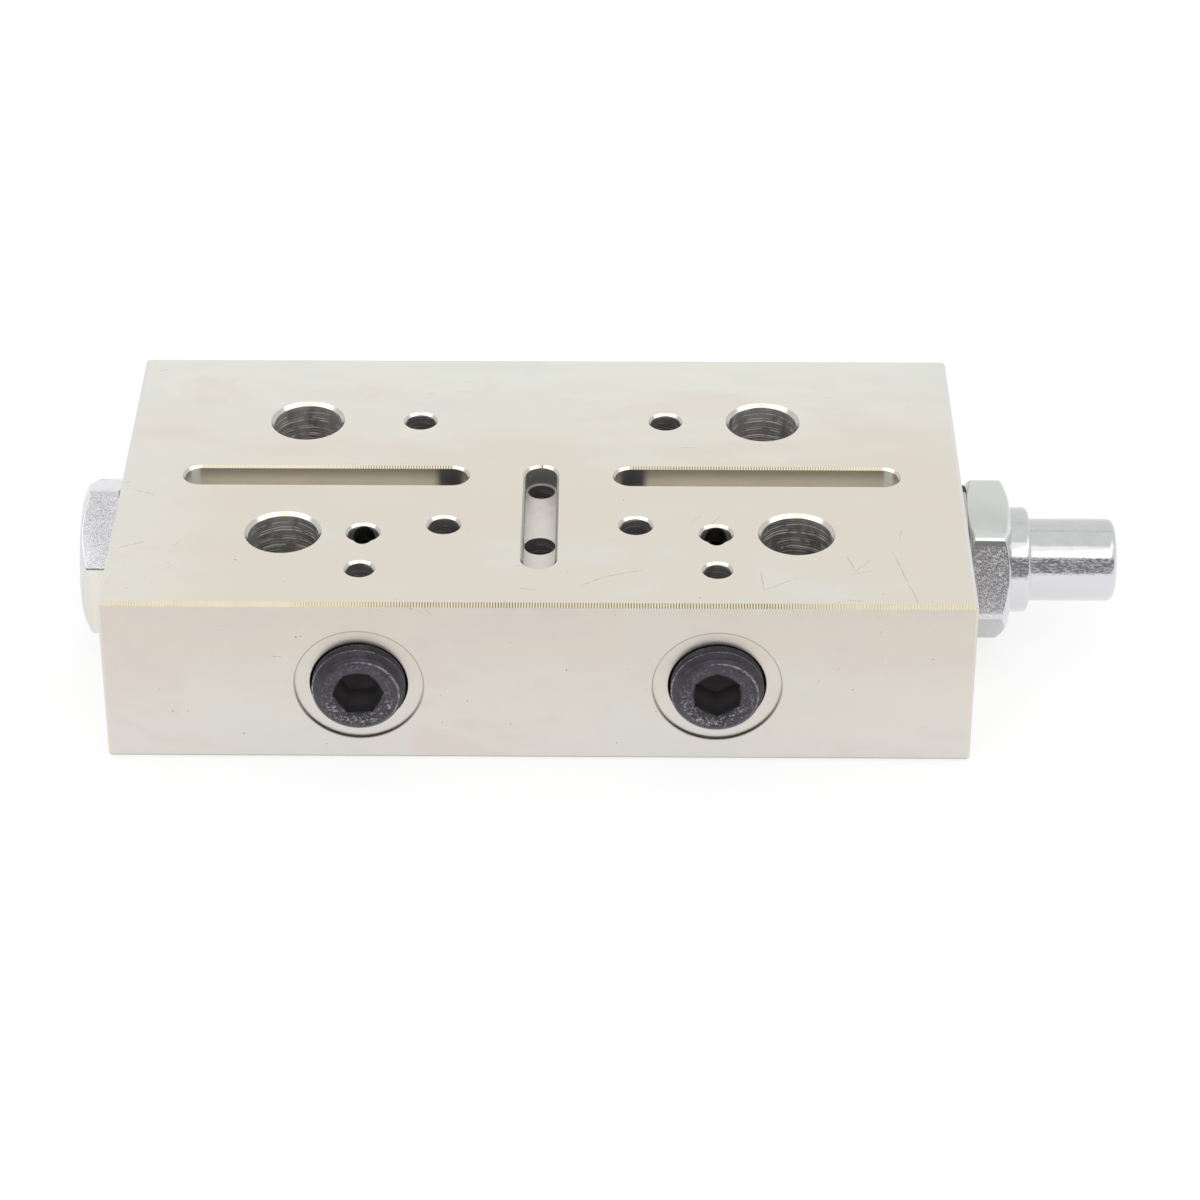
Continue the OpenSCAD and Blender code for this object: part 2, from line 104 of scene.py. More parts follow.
class NodeSheet:
    """Short calls for laying out one node tree."""

    def __init__(self, tree: bpy.types.NodeTree) -> None:
        """Keeps the tree that nodes are added to."""
        self.tree = tree

    def add(self, kind: str, **settings: object) -> bpy.types.Node:
        """Adds one node.

        Args:
            kind: Blender's class name of the node.
            settings: Properties to set on the node.

        Returns:
            The new node.
        """
        node = self.tree.nodes.new(kind)
        for name, value in settings.items():
            setattr(node, name, value)
        return node

    def feed(self, target: Socket, value: Union[Socket, float, Sequence[float]]) -> None:
        """Links a socket to an input, or sets the input to a plain value.

        Args:
            target: Input socket.
            value: Output socket, number or vector.
        """
        if isinstance(value, bpy.types.NodeSocket):
            self.tree.links.new(value, target)
        elif target.type == "RGBA" and len(value) == 3:
            target.default_value = (*value, 1.0)
        else:
            target.default_value = value

    def end(self, kind: str, shader: Socket) -> None:
        """Adds the output node of the given class and links the shader to it."""
        self.feed(self.add(kind).inputs["Surface"], shader)

    def math(self, operation: str, first: Value, second: Value = 0.0, third: Value = 0.0,
             clamp: bool = False) -> Socket:
        """Adds a Math node.

        Args:
            operation: Name of the operation.
            first: First operand.
            second: Second operand.
            third: Third operand.
            clamp: Whether to hold the result between 0 and 1.

        Returns:
            The result.
        """
        node = self.add("ShaderNodeMath", operation=operation, use_clamp=clamp)
        for place, value in enumerate((first, second, third)):
            self.feed(node.inputs[place], value)
        return node.outputs[0]

    def fold(self, operation: str, *values: Value) -> Socket:
        """Runs a Math operation over several values in order.

        Args:
            operation: Name of the operation.
            values: Operands.

        Returns:
            The result.
        """
        result = values[0]
        for value in values[1:]:
            result = self.math(operation, result, value)
        return result

    def times(self, *values: Value) -> Socket:
        """Returns the product of several values."""
        return self.fold("MULTIPLY", *values)

    def most(self, *values: Value) -> Socket:
        """Returns the largest of several values."""
        return self.fold("MAXIMUM", *values)

    def less(self, first: Value, second: Value) -> Socket:
        """Returns the first value less the second."""
        return self.math("SUBTRACT", first, second)

    def size(self, value: Value) -> Socket:
        """Returns a value without its sign."""
        return self.math("ABSOLUTE", value)

    def gap(self, first: Value, second: Value) -> Socket:
        """Returns the distance between two values."""
        return self.size(self.less(first, second))

    def scaled(self, value: Value, factor: Value, offset: Value) -> Socket:
        """Returns a value times a factor, plus an offset."""
        return self.math("MULTIPLY_ADD", value, factor, offset)

    def radius(self, first: Value, second: Value) -> Socket:
        """Returns the length of a vector with two parts."""
        return self.math("SQRT", self.math("ADD", self.times(first, first), self.times(second, second)))

    def vector(self, operation: str, *values: object) -> bpy.types.Node:
        """Adds a Vector Math node.

        Args:
            operation: Name of the operation.
            values: Inputs in order.

        Returns:
            The node.
        """
        node = self.add("ShaderNodeVectorMath", operation=operation)
        for socket, value in zip(node.inputs, values):
            self.feed(socket, value)
        return node

    def step(self, value: Value, low: float, high: float, out_low: Value = 0.0,
             out_high: Value = 1.0) -> Socket:
        """Maps a range smoothly to another one.

        Args:
            value: Input value.
            low: Input that gives out_low.
            high: Input that gives out_high.
            out_low: Result at low.
            out_high: Result at high.

        Returns:
            The mapped value.
        """
        node = self.add("ShaderNodeMapRange", interpolation_type="SMOOTHSTEP")
        for name, item in (("Value", value), ("From Min", low), ("From Max", high),
                           ("To Min", out_low), ("To Max", out_high)):
            self.feed(node.inputs[name], item)
        return node.outputs["Result"]

    def mix(self, share: Value, first: Union[Socket, Colour], second: Union[Socket, Colour]) -> Socket:
        """Mixes two colours.

        Args:
            share: Share of the second colour.
            first: First colour.
            second: Second colour.

        Returns:
            The mixed colour.
        """
        node = self.add("ShaderNodeMix", data_type="RGBA")
        self.feed(node.inputs["Factor"], share)
        colours = [socket for socket in node.inputs if socket.type == "RGBA"]
        self.feed(colours[0], first)
        self.feed(colours[1], second)
        return next(socket for socket in node.outputs if socket.type == "RGBA")

    def noise(self, place: Socket, scale: Value, detail: float = 2.0, rough: float = 0.5,
              bend: float = 0.0) -> Socket:
        """Adds a noise texture.

        Args:
            place: Coordinates.
            scale: Features per unit of the coordinates.
            detail: Octaves.
            rough: Weight of the fine octaves.
            bend: Distortion.

        Returns:
            The noise value.
        """
        node = self.add("ShaderNodeTexNoise")
        for name, value in (("Vector", place), ("Scale", scale), ("Detail", detail), ("Roughness", rough),
                            ("Distortion", bend)):
            self.feed(node.inputs[name], value)
        return node.outputs[0]

    def waver(self, place: Socket, scale: float, reach: Sequence[float]) -> Socket:
        """Bends coordinates a little.

        Args:
            place: Coordinates.
            scale: Bends per unit of the coordinates.
            reach: Longest way along each axis.

        Returns:
            The bent coordinates.
        """
        node = self.add("ShaderNodeTexNoise")
        self.feed(node.inputs["Vector"], place)
        self.feed(node.inputs["Scale"], scale)
        return self.vector("MULTIPLY_ADD", node.outputs["Color"], reach, place).outputs[0]

    def stretch(self, place: Socket, scale: Sequence[float], turn: Sequence[float] = (0, 0, 0),
                shift: Sequence[float] = (0, 0, 0)) -> Socket:
        """Turns, then stretches coordinates.

        Args:
            place: Coordinates.
            scale: Factor along each axis.
            turn: Angles in degrees.
            shift: Offset.

        Returns:
            The new coordinates.
        """
        turned = self.add("ShaderNodeMapping")
        self.feed(turned.inputs["Vector"], place)
        self.feed(turned.inputs["Rotation"], [math.radians(angle) for angle in turn])
        node = self.add("ShaderNodeMapping")
        for name, value in (("Vector", turned.outputs[0]), ("Location", shift), ("Scale", scale)):
            self.feed(node.inputs[name], value)
        return node.outputs[0]

    def split(self, place: Socket) -> tuple[Socket, Socket, Socket]:
        """Returns the three parts of a vector."""
        node = self.add("ShaderNodeSeparateXYZ")
        self.feed(node.inputs[0], place)
        return node.outputs[0], node.outputs[1], node.outputs[2]

    def group(self, tree: bpy.types.NodeTree, **values: object) -> bpy.types.NodeOutputs:
        """Places a node group.

        Args:
            tree: The group.
            values: Inputs by name.

        Returns:
            The outputs of the group.
        """
        node = self.add("ShaderNodeGroup")
        node.node_tree = tree
        for name, value in values.items():
            self.feed(node.inputs[name], value)
        return node.outputs


def empty_material(name: str) -> tuple[bpy.types.Material, NodeSheet]:
    """Makes a material with an empty node tree.

    Args:
        name: Name of the material.

    Returns:
        The material and the sheet of its tree.
    """
    material = bpy.data.materials.new(name)
    material.use_nodes = True
    material.node_tree.nodes.clear()
    return material, NodeSheet(material.node_tree)


class GroupMaker:
    """Makes one shader node group with named sockets."""

    def __init__(self, name: str, inputs: dict[str, Optional[float]], outputs: Sequence[str]) -> None:
        """Opens the group.

        Args:
            name: Name of the group.
            inputs: Input names with their defaults; None makes a vector.
            outputs: Output names.
        """
        self.tree = bpy.data.node_groups.new(name, "ShaderNodeTree")
        face = self.tree.interface
        for label, default in inputs.items():
            kind = "NodeSocketVector" if default is None else "NodeSocketFloat"
            socket = face.new_socket(name=label, in_out="INPUT", socket_type=kind)
            if default is not None:
                socket.default_value = default
        for label in outputs:
            face.new_socket(name=label, in_out="OUTPUT", socket_type="NodeSocketFloat")
        self.sheet = NodeSheet(self.tree)
        self.source = self.sheet.add("NodeGroupInput")
        self.sink = self.sheet.add("NodeGroupOutput")

    def take(self, label: str) -> Socket:
        """Returns an input of the group."""
        return self.source.outputs[label]

    def give(self, label: str, value: Socket) -> None:
        """Links a value to an output of the group."""
        self.sheet.feed(self.sink.inputs[label], value)


class SharedEffects:
    """Node groups that the finishes share. Their coordinates are in millimetres."""

    def __init__(self) -> None:
        """Builds all the groups."""
        self.specks = self._specks()
        self.scratches = self._scratches()
        self.tool_rings = self._tool_rings()
        self.grain = self._grain()
        self.stroke = self._stroke()

    def _scratches(self) -> bpy.types.NodeTree:
        """Builds short scratches that lie a few ways and bend a little.

        Returns:
            The group.
        """
        maker = GroupMaker("short_scratches", {"Place": None, "Density": 0.05}, ["Lines"])
        sheet = maker.sheet
        bent = sheet.waver(maker.take("Place"), 0.16, (1.3, 1.3, 1.3))
        lines = []
        for turn, length, seed in ((-58, 0.022, 3.0), (-74, 0.045, 11.0), (-22, 0.03, 23.0), (8, 0.05, 31.0)):
            lie = sheet.stretch(bent, (length, 1.0, 1.0), (0, 0, turn), (seed, seed, seed))
            lines.append(sheet.group(self.specks, Place=lie, Scale=1.0, Density=maker.take("Density"))["Pits"])
        maker.give("Lines", sheet.most(*lines))
        return maker.tree

    @staticmethod
    def _stroke() -> bpy.types.NodeTree:
        """Builds one scratch between two points.

        Returns:
            The group.
        """
        maker = GroupMaker("one_scratch", {"Place": None, "From": None, "To": None, "Width": 0.1}, ["Line"])
        sheet, start = maker.sheet, maker.take("From")
        way = sheet.vector("SUBTRACT", maker.take("To"), start).outputs[0]
        gone = sheet.vector("SUBTRACT", maker.take("Place"), start).outputs[0]
        done = sheet.vector("DOT_PRODUCT", gone, way).outputs["Value"]
        whole = sheet.vector("DOT_PRODUCT", way, way).outputs["Value"]
        along = sheet.vector("MULTIPLY", way, sheet.math("DIVIDE", done, whole, clamp=True)).outputs[0]
        away = sheet.vector("DISTANCE", gone, along).outputs["Value"]
        maker.give("Line", sheet.step(sheet.math("DIVIDE", away, maker.take("Width")), 0.4, 1.0, 1.0, 0.0))
        return maker.tree

    @staticmethod
    def _specks() -> bpy.types.NodeTree:
        """Builds scattered pits of uneven size.

        Returns:
            The group.
        """
        maker = GroupMaker("pits_and_specks", {"Place": None, "Scale": 1.0, "Density": 0.1}, ["Pits"])
        sheet = maker.sheet
        cell = sheet.add("ShaderNodeTexVoronoi")
        for name, value in (("Vector", maker.take("Place")), ("Scale", maker.take("Scale"))):
            sheet.feed(cell.inputs[name], value)
        red, green, _ = sheet.split(cell.outputs["Color"])
        size = sheet.step(green, 0.0, 1.0, 0.01, 0.055)
        dot = sheet.step(sheet.less(cell.outputs["Distance"], size), 0.0, 0.03, 1.0, 0.0)
        maker.give("Pits", sheet.times(dot, sheet.math("LESS_THAN", red, maker.take("Density"))))
        return maker.tree

    @staticmethod
    def _tool_rings() -> bpy.types.NodeTree:
        """Builds the rings that a cutting tool leaves along an axis.

        Returns:
            The group.
        """
        maker = GroupMaker("tool_rings", {"Along": 0.0, "Place": None, "Pitch": 0.3}, ["Rings", "Streaks"])
        sheet, place = maker.sheet, maker.take("Place")
        along = sheet.scaled(sheet.noise(place, 0.35, 2.0), 0.5, maker.take("Along"))
        phase = sheet.math("DIVIDE", along, maker.take("Pitch"))
        rings = sheet.scaled(sheet.math("SINE", sheet.times(phase, math.tau)), 0.5, 0.5)
        lone = sheet.add("ShaderNodeTexNoise", noise_dimensions="1D")
        for name, value in (("W", sheet.times(phase, 0.9)), ("Scale", 1.0), ("Detail", 3.0)):
            sheet.feed(lone.inputs[name], value)
        broken = sheet.step(sheet.noise(place, 0.55, 2.0), 0.34, 0.58)
        maker.give("Rings", sheet.times(rings, sheet.step(lone.outputs[0], 0.3, 0.6)))
        maker.give("Streaks", sheet.times(sheet.step(lone.outputs[0], 0.5, 0.64), broken))
        return maker.tree

    @staticmethod
    def _grain() -> bpy.types.NodeTree:
        """Builds the wrinkled grain of drawn bar under zinc.

        Returns:
            The group.
        """
        maker = GroupMaker("wrinkled_grain", {"Place": None, "Scale": 3.0}, ["Height", "Tone", "Sparkle"])
        sheet, place, scale = maker.sheet, maker.take("Place"), maker.take("Scale")
        worms = sheet.noise(place, scale, 1.0, 0.5, 1.4)
        ridge = sheet.gap(worms, 0.5)
        fine = sheet.noise(place, sheet.times(scale, 2.3), 2.0, 0.6)
        maker.give("Height", sheet.scaled(ridge, 2.2, sheet.times(fine, 0.25)))
        maker.give("Tone", sheet.step(ridge, 0.02, 0.12))
        maker.give("Sparkle", sheet.step(worms, 0.56, 0.61))
        return maker.tree


class Finish:
    """Start of one procedural metal or rubber material."""

    def __init__(self, name: str) -> None:
        """Opens the material with a Principled shader and millimetre coordinates.

        Args:
            name: Name of the material.
        """
        self.material, self.sheet = empty_material(name)
        self.shader = self.sheet.add("ShaderNodeBsdfPrincipled")
        self.sheet.end("ShaderNodeOutputMaterial", self.shader.outputs[0])
        coordinates = self.sheet.add("ShaderNodeTexCoord")
        self.normal = coordinates.outputs["Normal"]
        self.place = self.sheet.vector("MULTIPLY", coordinates.outputs["Object"], (1.0 / MM,) * 3).outputs[0]

    def set(self, **values: object) -> None:
        """Sets or links shader inputs by name, with spaces written as underscores."""
        for name, value in values.items():
            self.sheet.feed(self.shader.inputs[name.replace("_", " ")], value)

    def bump(self, height: Socket, depth_mm: float, strength: float = 1.0,
             onto: Optional[Socket] = None) -> Socket:
        """Adds a bump node.

        Args:
            height: Height between 0 and 1.
            depth_mm: Real depth in millimetres.
            strength: Strength of the bump.
            onto: Normal to add to.

        Returns:
            The normal.
        """
        node = self.sheet.add("ShaderNodeBump")
        for name, value in (("Height", height), ("Distance", depth_mm * MM), ("Strength", strength)):
            self.sheet.feed(node.inputs[name], value)
        if onto is not None:
            self.sheet.feed(node.inputs["Normal"], onto)
        return node.outputs[0]


class BlockPlaces:
    """Masks that find the worked places of the block from its coordinates and normals."""

    def __init__(self, finish: Finish) -> None:
        """Lays out the masks.

        Args:
            finish: Material that they are laid out in.
        """
        sheet = finish.sheet
        self.sheet = sheet
        self.x, self.y, self.z = sheet.split(finish.place)
        self.nx, self.ny, self.nz = sheet.split(finish.normal)
        self.wide = sheet.size(self.x)
        self.from_end = sheet.less(BLOCK.length / 2, self.wide)
        self.from_side = sheet.less(BLOCK.depth / 2, sheet.size(self.y))
        self.from_top = sheet.less(BLOCK.height, self.z)
        tilt = sheet.size(self.nz)
        depth = sheet.math("MINIMUM", self.from_top, self.z)
        inside = sheet.step(sheet.math("MINIMUM", self.from_end, sheet.less(self.from_side, 0.8)), 0.9, 1.2)
        sloped = sheet.times(sheet.step(tilt, 0.35, 0.5), sheet.step(tilt, 0.97, 0.9))
        self.rim = sheet.times(inside, sloped, sheet.step(depth, 0.9, 0.8))
        self.wall = sheet.times(inside, sheet.step(depth, 0.03, 0.08), sheet.less(1.0, self.rim))

    def top_edge(self, facing: Socket, from_face: Socket) -> Socket:
        """Finds the chamfer along one top edge.

        Args:
            facing: How far the surface faces that side.
            from_face: Distance from that side.

        Returns:
            The mask.
        """
        step = self.sheet.step
        return self.sheet.times(step(facing, 0.25, 0.5), step(self.nz, 0.25, 0.5), step(from_face, 1.2, 0.8))

    def low_edge_shade(self) -> Socket:
        """Finds the chamfer along the bottom edges, where a painted contact shadow goes."""
        step = self.sheet.step
        return self.sheet.times(step(self.nz, -0.25, -0.5), step(self.nz, -0.95, -0.9), step(self.z, 0.8, 0.7))

    def tie_rod_holes(self) -> Socket:
        """Finds the walls of the four tie-rod holes."""
        sheet = self.sheet
        return sheet.times(sheet.step(sheet.gap(sheet.size(self.y), BLOCK.tie_rod_y), 6.2, 6.0),
                           sheet.step(sheet.gap(self.wide, BLOCK.tie_rod_x), 7.4, 7.2))

    def long_slots(self) -> Socket:
        """Finds the walls of the two long slots."""
        step = self.sheet.step
        return self.sheet.times(step(self.sheet.size(self.y), 3.0, 2.9), step(self.from_top, 3.6, 3.5),
                                step(self.wide, 9.5, 9.7))

    def middle_slot(self) -> Socket:
        """Finds the walls and floor of the middle slot."""
        return self.sheet.times(self.sheet.step(self.wide, 3.4, 3.3), self.sheet.step(self.from_top, 3.2, 3.1))

    def outlet_radius(self) -> Socket:
        """Returns the distance from the nearer outlet's axis."""
        sheet = self.sheet
        return sheet.radius(sheet.less(self.wide, BLOCK.outlet_x), sheet.less(self.z, BLOCK.outlet_height))


@dataclass(frozen=True)
class PlatedSteel:
    """Cream zinc plating on the machined block, with painted shade darkening its holes and slots, and a golden
    front edge.
    """

    cream: Colour = (0.735, 0.69, 0.605)
    pale: Colour = (0.775, 0.775, 0.70)
    pink: Colour = (0.74, 0.66, 0.595)
    blue: Colour = (0.715, 0.735, 0.70)
    front_high: Colour = (0.71, 0.65, 0.58)
    front_low: Colour = (0.72, 0.695, 0.645)
    front_pink: Colour = (0.70, 0.61, 0.575)
    front_green: Colour = (0.69, 0.69, 0.635)
    mark: Colour = (0.30, 0.28, 0.25)
    bore: Colour = (0.19, 0.18, 0.172)
    bore_sheen: Colour = (0.37, 0.355, 0.335)
    bore_ring: Colour = (0.085, 0.08, 0.075)
    shaded_drill_hole: Colour = (0.15, 0.142, 0.14)
    streak: Colour = (0.95, 0.92, 0.88)
    slot_wall_top_shade: Colour = (0.31, 0.28, 0.22)
    slot_wall_low_light: Colour = (0.60, 0.55, 0.45)
    slot_band: Colour = (0.66, 0.65, 0.62)
    slot_end: Colour = (0.10, 0.095, 0.095)
    middle_wall_shade: Colour = (0.20, 0.205, 0.187)
    floor: Colour = (0.77, 0.735, 0.685)
    floor_smudge: Colour = (0.67, 0.62, 0.565)
    rim: Colour = (0.80, 0.79, 0.75)
    rim_side_shade: Colour = (0.52, 0.52, 0.48)
    gold: Colour = (0.60, 0.545, 0.41)
    gold_dark: Colour = (0.17, 0.145, 0.10)
    lilac: Colour = (0.70, 0.70, 0.70)
    low_edge_shade: Colour = (0.36, 0.35, 0.34)
    port_gap_shade: Colour = (0.03, 0.028, 0.026)
    spot_wall: Colour = (0.20, 0.185, 0.15)
    slot_end_x: float = 13.4
    slot_band_x: float = 51.0
    tick_pitch: float = 0.394
    ring_pitch: float = 0.24
    scratch_width: float = 0.1
    scratches: tuple[Scratch, ...] = (
        (-61.2, -2.2, -60.1, -2.3), (-59.9, -4.0, -56.4, -5.6), (-60.0, -19.9, -56.6, -18.2),
        (-59.1, 30.1, -58.0, 30.5), (6.2, -29.0, 9.3, -26.9), (9.3, -26.9, 14.6, -25.0),
        (31.4, -25.6, 31.7, -30.0), (31.7, -30.0, 36.5, -26.9), (43.7, -21.3, 44.8, -25.1),
        (44.8, -25.1, 46.9, -22.3), (51.9, -14.4, 51.5, -16.6), (50.2, -20.1, 51.4, -25.5),
        (51.4, -25.5, 53.0, -33.0), (-2.5, -29.8, -0.2, -30.3), (42.7, -32.4, 45.4, -32.7))
    front_scratches: tuple[Scratch, ...] = (
        (-17.9, 25.8, -16.2, 25.4), (-17.0, 25.3, -15.8, 25.0), (-15.8, 25.8, -14.8, 24.9),
        (-20.3, 20.3, -19.3, 19.0), (-18.6, 8.1, -17.9, 7.9), (-37.3, 17.6, -36.2, 17.5),
        (42.0, 15.7, 42.4, 16.0), (42.1, 15.6, 42.2, 15.7))

    def strokes(self, finish: Finish, effects: SharedEffects) -> Socket:
        """Lays the single scratches of the top and front faces.

        Args:
            finish: Material being made.
            effects: Shared node groups.

        Returns:
            The mask.
        """
        sheet = finish.sheet
        bent = sheet.waver(finish.place, 0.5, (0.5, 0.5, 0.0))
        mean_bend = Vector((0.25, 0.25, 0.0))
        ahead = -BLOCK.depth / 2
        ways = [((x1, y1, BLOCK.height), (x2, y2, BLOCK.height)) for x1, y1, x2, y2 in self.scratches]
        ways += [((x1, ahead, z1), (x2, ahead, z2)) for x1, z1, x2, z2 in self.front_scratches]
        total: Value = 0.0
        for start, end in ways:
            line = sheet.group(effects.stroke, Place=bent, From=Vector(start) + mean_bend,
                               To=Vector(end) + mean_bend, Width=self.scratch_width)
            total = sheet.most(total, line["Line"])
        return sheet.times(total, sheet.step(sheet.noise(finish.place, 0.9, 3.0, 0.7), 0.3, 0.6, 0.25, 1.0))

    def marks(self, finish: Finish, places: BlockPlaces, effects: SharedEffects) -> Socket:
        """Lays out scratches, nicks and specks, which lie closer together towards the front edge.

        Args:
            finish: Material being made.
            places: Masks of the block.
            effects: Shared node groups.

        Returns:
            The mask.
        """
        sheet, place = finish.sheet, finish.place
        near = sheet.step(places.y, -22.0, -33.0)
        brink = sheet.step(places.y, -30.0, -32.5)
        lines = sheet.times(sheet.group(effects.scratches, Place=place, Density=0.1)["Lines"], 0.4)
        spots = (
            (sheet.stretch(place, (0.45, 1.0, 1.0)), 0.7, sheet.times(brink, 0.2)),
            (sheet.stretch(place, (0.8, 1.0, 1.0), shift=(2, 5, 9)), 0.4, sheet.scaled(near, 0.7, 0.06)),
            (place, 0.5, sheet.scaled(near, 0.14, 0.03)))
        pits = sheet.most(*(sheet.group(effects.specks, Place=where, Scale=scale, Density=density)["Pits"]
                            for where, scale, density in spots))
        lines = sheet.most(lines, sheet.times(self.strokes(finish, effects), 0.55))
        return sheet.most(lines, sheet.times(pits, 0.8))

    def skin(self, finish: Finish, places: BlockPlaces, effects: SharedEffects) -> Socket:
        """Lays out the plating of the outer faces.

        Args:
            finish: Material being made.
            places: Masks of the block.
            effects: Shared node groups.

        Returns:
            The colour.
        """
        sheet, place = finish.sheet, finish.place
        step, mix = sheet.step, sheet.mix
        cloud = sheet.noise(sheet.stretch(place, (0.35, 1.0, 1.0)), 0.075, 3.0, 0.55, 0.5)
        patch = sheet.noise(sheet.stretch(place, (0.5, 1.0, 1.0), shift=(7, 3, 5)), 0.11, 3.0, 0.55, 0.4)
        back = sheet.scaled(sheet.less(cloud, 0.5), 60.0, places.y)
        colour = mix(step(back, -6.0, 34.0), self.cream, self.pale)
        colour = mix(step(places.x, -38.0, -64.0, 0.0, 0.6), colour, self.pale)
        colour = mix(step(patch, 0.5, 0.68, 0.0, step(places.nz, 0.3, 0.9, 0.2, 0.5)), colour, self.pink)
        colour = mix(step(patch, 0.47, 0.32, 0.0, 0.45), colour, self.blue)
        front = mix(step(sheet.scaled(cloud, 14.0, places.z), 12.0, 27.0), self.front_low, self.front_high)
        front = mix(step(patch, 0.5, 0.68, 0.0, 0.5), front, self.front_pink)
        front = mix(step(patch, 0.47, 0.32, 0.0, 0.5), front, self.front_green)
        colour = mix(step(places.ny, -0.5, -0.9, 0.0, 0.95), colour, front)
        return mix(self.marks(finish, places, effects), colour, self.mark)

    def edges(self, finish: Finish, places: BlockPlaces, colour: Socket) -> tuple[Socket, Socket]:
        """Lays the golden front edge, the lilac end edges and the hole rims over the plating.

        Args:
            finish: Material being made.
            places: Masks of the block.
            colour: Colour of the plating.

        Returns:
            The colour, and the height of the cutter ticks.
        """
        sheet = finish.sheet
        step, mix = sheet.step, sheet.mix
        ticks = step(sheet.math("SINE", sheet.times(places.x, math.tau / self.tick_pitch)), -0.2, 0.6)
        uneven = sheet.noise(sheet.stretch(finish.place, (0.11, 0.3, 0.3)), 1.0, 2.0)
        worn = sheet.math("ADD", step(sheet.gap(places.x, 8.0), 46.0, 22.0, 0.04, 0.85),
                          step(uneven, 0.42, 0.75, 0.0, 0.25))
        worn = sheet.most(worn, step(places.x, 5.0, 20.0, 0.0, 0.28))
        gold = mix(sheet.math("MULTIPLY", worn, ticks, clamp=True), self.gold, self.gold_dark)
        forward = sheet.times(places.ny, -1.0)
        ahead = places.top_edge(forward, places.from_side)
        aside = places.top_edge(sheet.size(places.nx), places.from_end)
        toward = sheet.math("DIVIDE", forward, sheet.most(sheet.radius(places.nx, places.ny), 0.001))
        straight = step(toward, 0.99, 0.999)
        # Painted light: rims that face forward are painted lighter, and rims that face sideways darker.
        rim = mix(step(toward, 0.6, 0.82), self.rim_side_shade, self.rim)
        rim = mix(step(toward, 0.93, 0.995, 0.0, 0.55), rim, self.gold)
        rim = mix(sheet.times(straight, step(sheet.size(places.y), 4.2, 3.8)), rim, gold)
        colour = mix(ahead, colour, gold)
        colour = mix(aside, colour, self.lilac)
        # Painted shadow: the bottom chamfer is darkened as the contact shadow under the block.
        colour = mix(places.low_edge_shade(), colour, self.low_edge_shade)
        colour = mix(places.rim, colour, rim)
        return colour, sheet.times(sheet.most(ahead, sheet.times(places.rim, straight)), ticks)

    def holes(self, finish: Finish, places: BlockPlaces, rings: Socket, streaks: Socket) -> Socket:
        """Lays out the colour of bores, slots and ports, with painted shade darkening their walls.

        Args:
            finish: Material being made.
            places: Masks of the block.
            rings: Fine rings of the drill.
            streaks: Pale marks of the drill.

        Returns:
            The colour.
        """
        sheet = finish.sheet
        step, mix = sheet.step, sheet.mix
        # Painted shade: the hole walls get dark colours for the shade inside them. Painted sheen: the bores turn
        # lighter in soft patches and towards the back, and darker towards the front.
        sheen = sheet.noise(sheet.stretch(finish.place, (0.5, 0.5, 0.08)), 0.8, 2.0)
        bore = mix(step(sheet.scaled(places.y, 0.006, sheen), 0.35, 0.65), self.bore, self.bore_sheen)
        bore = mix(sheet.math("MULTIPLY", rings, 0.75, clamp=True), bore, self.bore_ring)
        bore = mix(streaks, bore, self.streak)
        shaded_drill_hole = mix(sheet.times(streaks, 0.4), self.shaded_drill_hole, self.streak)
        colour = mix(places.tie_rod_holes(), shaded_drill_hole, bore)
        # Painted light: long-slot walls are painted darker near the top and lighter lower down. Painted shade
        # darkens their inner ends and the middle slot's walls.
        slot = mix(step(places.from_top, 0.5, 2.6), self.slot_wall_top_shade, self.slot_wall_low_light)
        slot = mix(step(sheet.gap(places.wide, self.slot_end_x), 2.6, 1.2), slot, self.slot_end)
        slot = mix(step(sheet.gap(places.wide, self.slot_band_x), 0.9, 0.3), slot, self.slot_band)
        colour = mix(places.long_slots(), colour, slot)
        colour = mix(places.middle_slot(), colour, self.middle_wall_shade)
        smudge = sheet.times(step(places.y, -9.0, -2.0), step(sheet.noise(finish.place, 0.5, 2.0), 0.35, 0.65))
        return mix(step(places.nz, 0.6, 0.9), colour, mix(smudge, self.floor, self.floor_smudge))

    def outlets(self, finish: Finish, places: BlockPlaces, colour: Socket) -> tuple[Socket, Socket]:
        """Lays the spot faces' edges and the painted shade of the outlet ports over the other colours.

        Args:
            finish: Material being made.
            places: Masks of the block.
            colour: Colour so far.

        Returns:
            The colour, and the mask of the painted port shade.
        """
        sheet, step = finish.sheet, finish.sheet.step
        radius = places.outlet_radius()
        front = step(places.y, -20.0, -21.0)
        # Painted shade: the port's mouth round the plug is painted near black for the shadowed gap.
        port_gap_shade = sheet.times(front, step(radius, 8.2, 8.1), step(places.from_side, 0.43, 0.5))
        ledge = sheet.times(front, step(places.from_side, 0.7, 0.6), step(sheet.size(places.ny), 0.6, 0.3),
                            step(sheet.gap(radius, BLOCK.spotface_radius), 0.2, 0.1))
        line = sheet.times(front, step(places.from_side, 0.2, 0.1), step(places.ny, -0.8, -0.95),
                           step(sheet.gap(radius, BLOCK.spotface_radius + 0.06), 0.13, 0.05))
        colour = sheet.mix(sheet.times(line, 0.55), colour, self.spot_wall)
        colour = sheet.mix(port_gap_shade, colour, self.port_gap_shade)
        return sheet.mix(ledge, colour, self.spot_wall), port_gap_shade

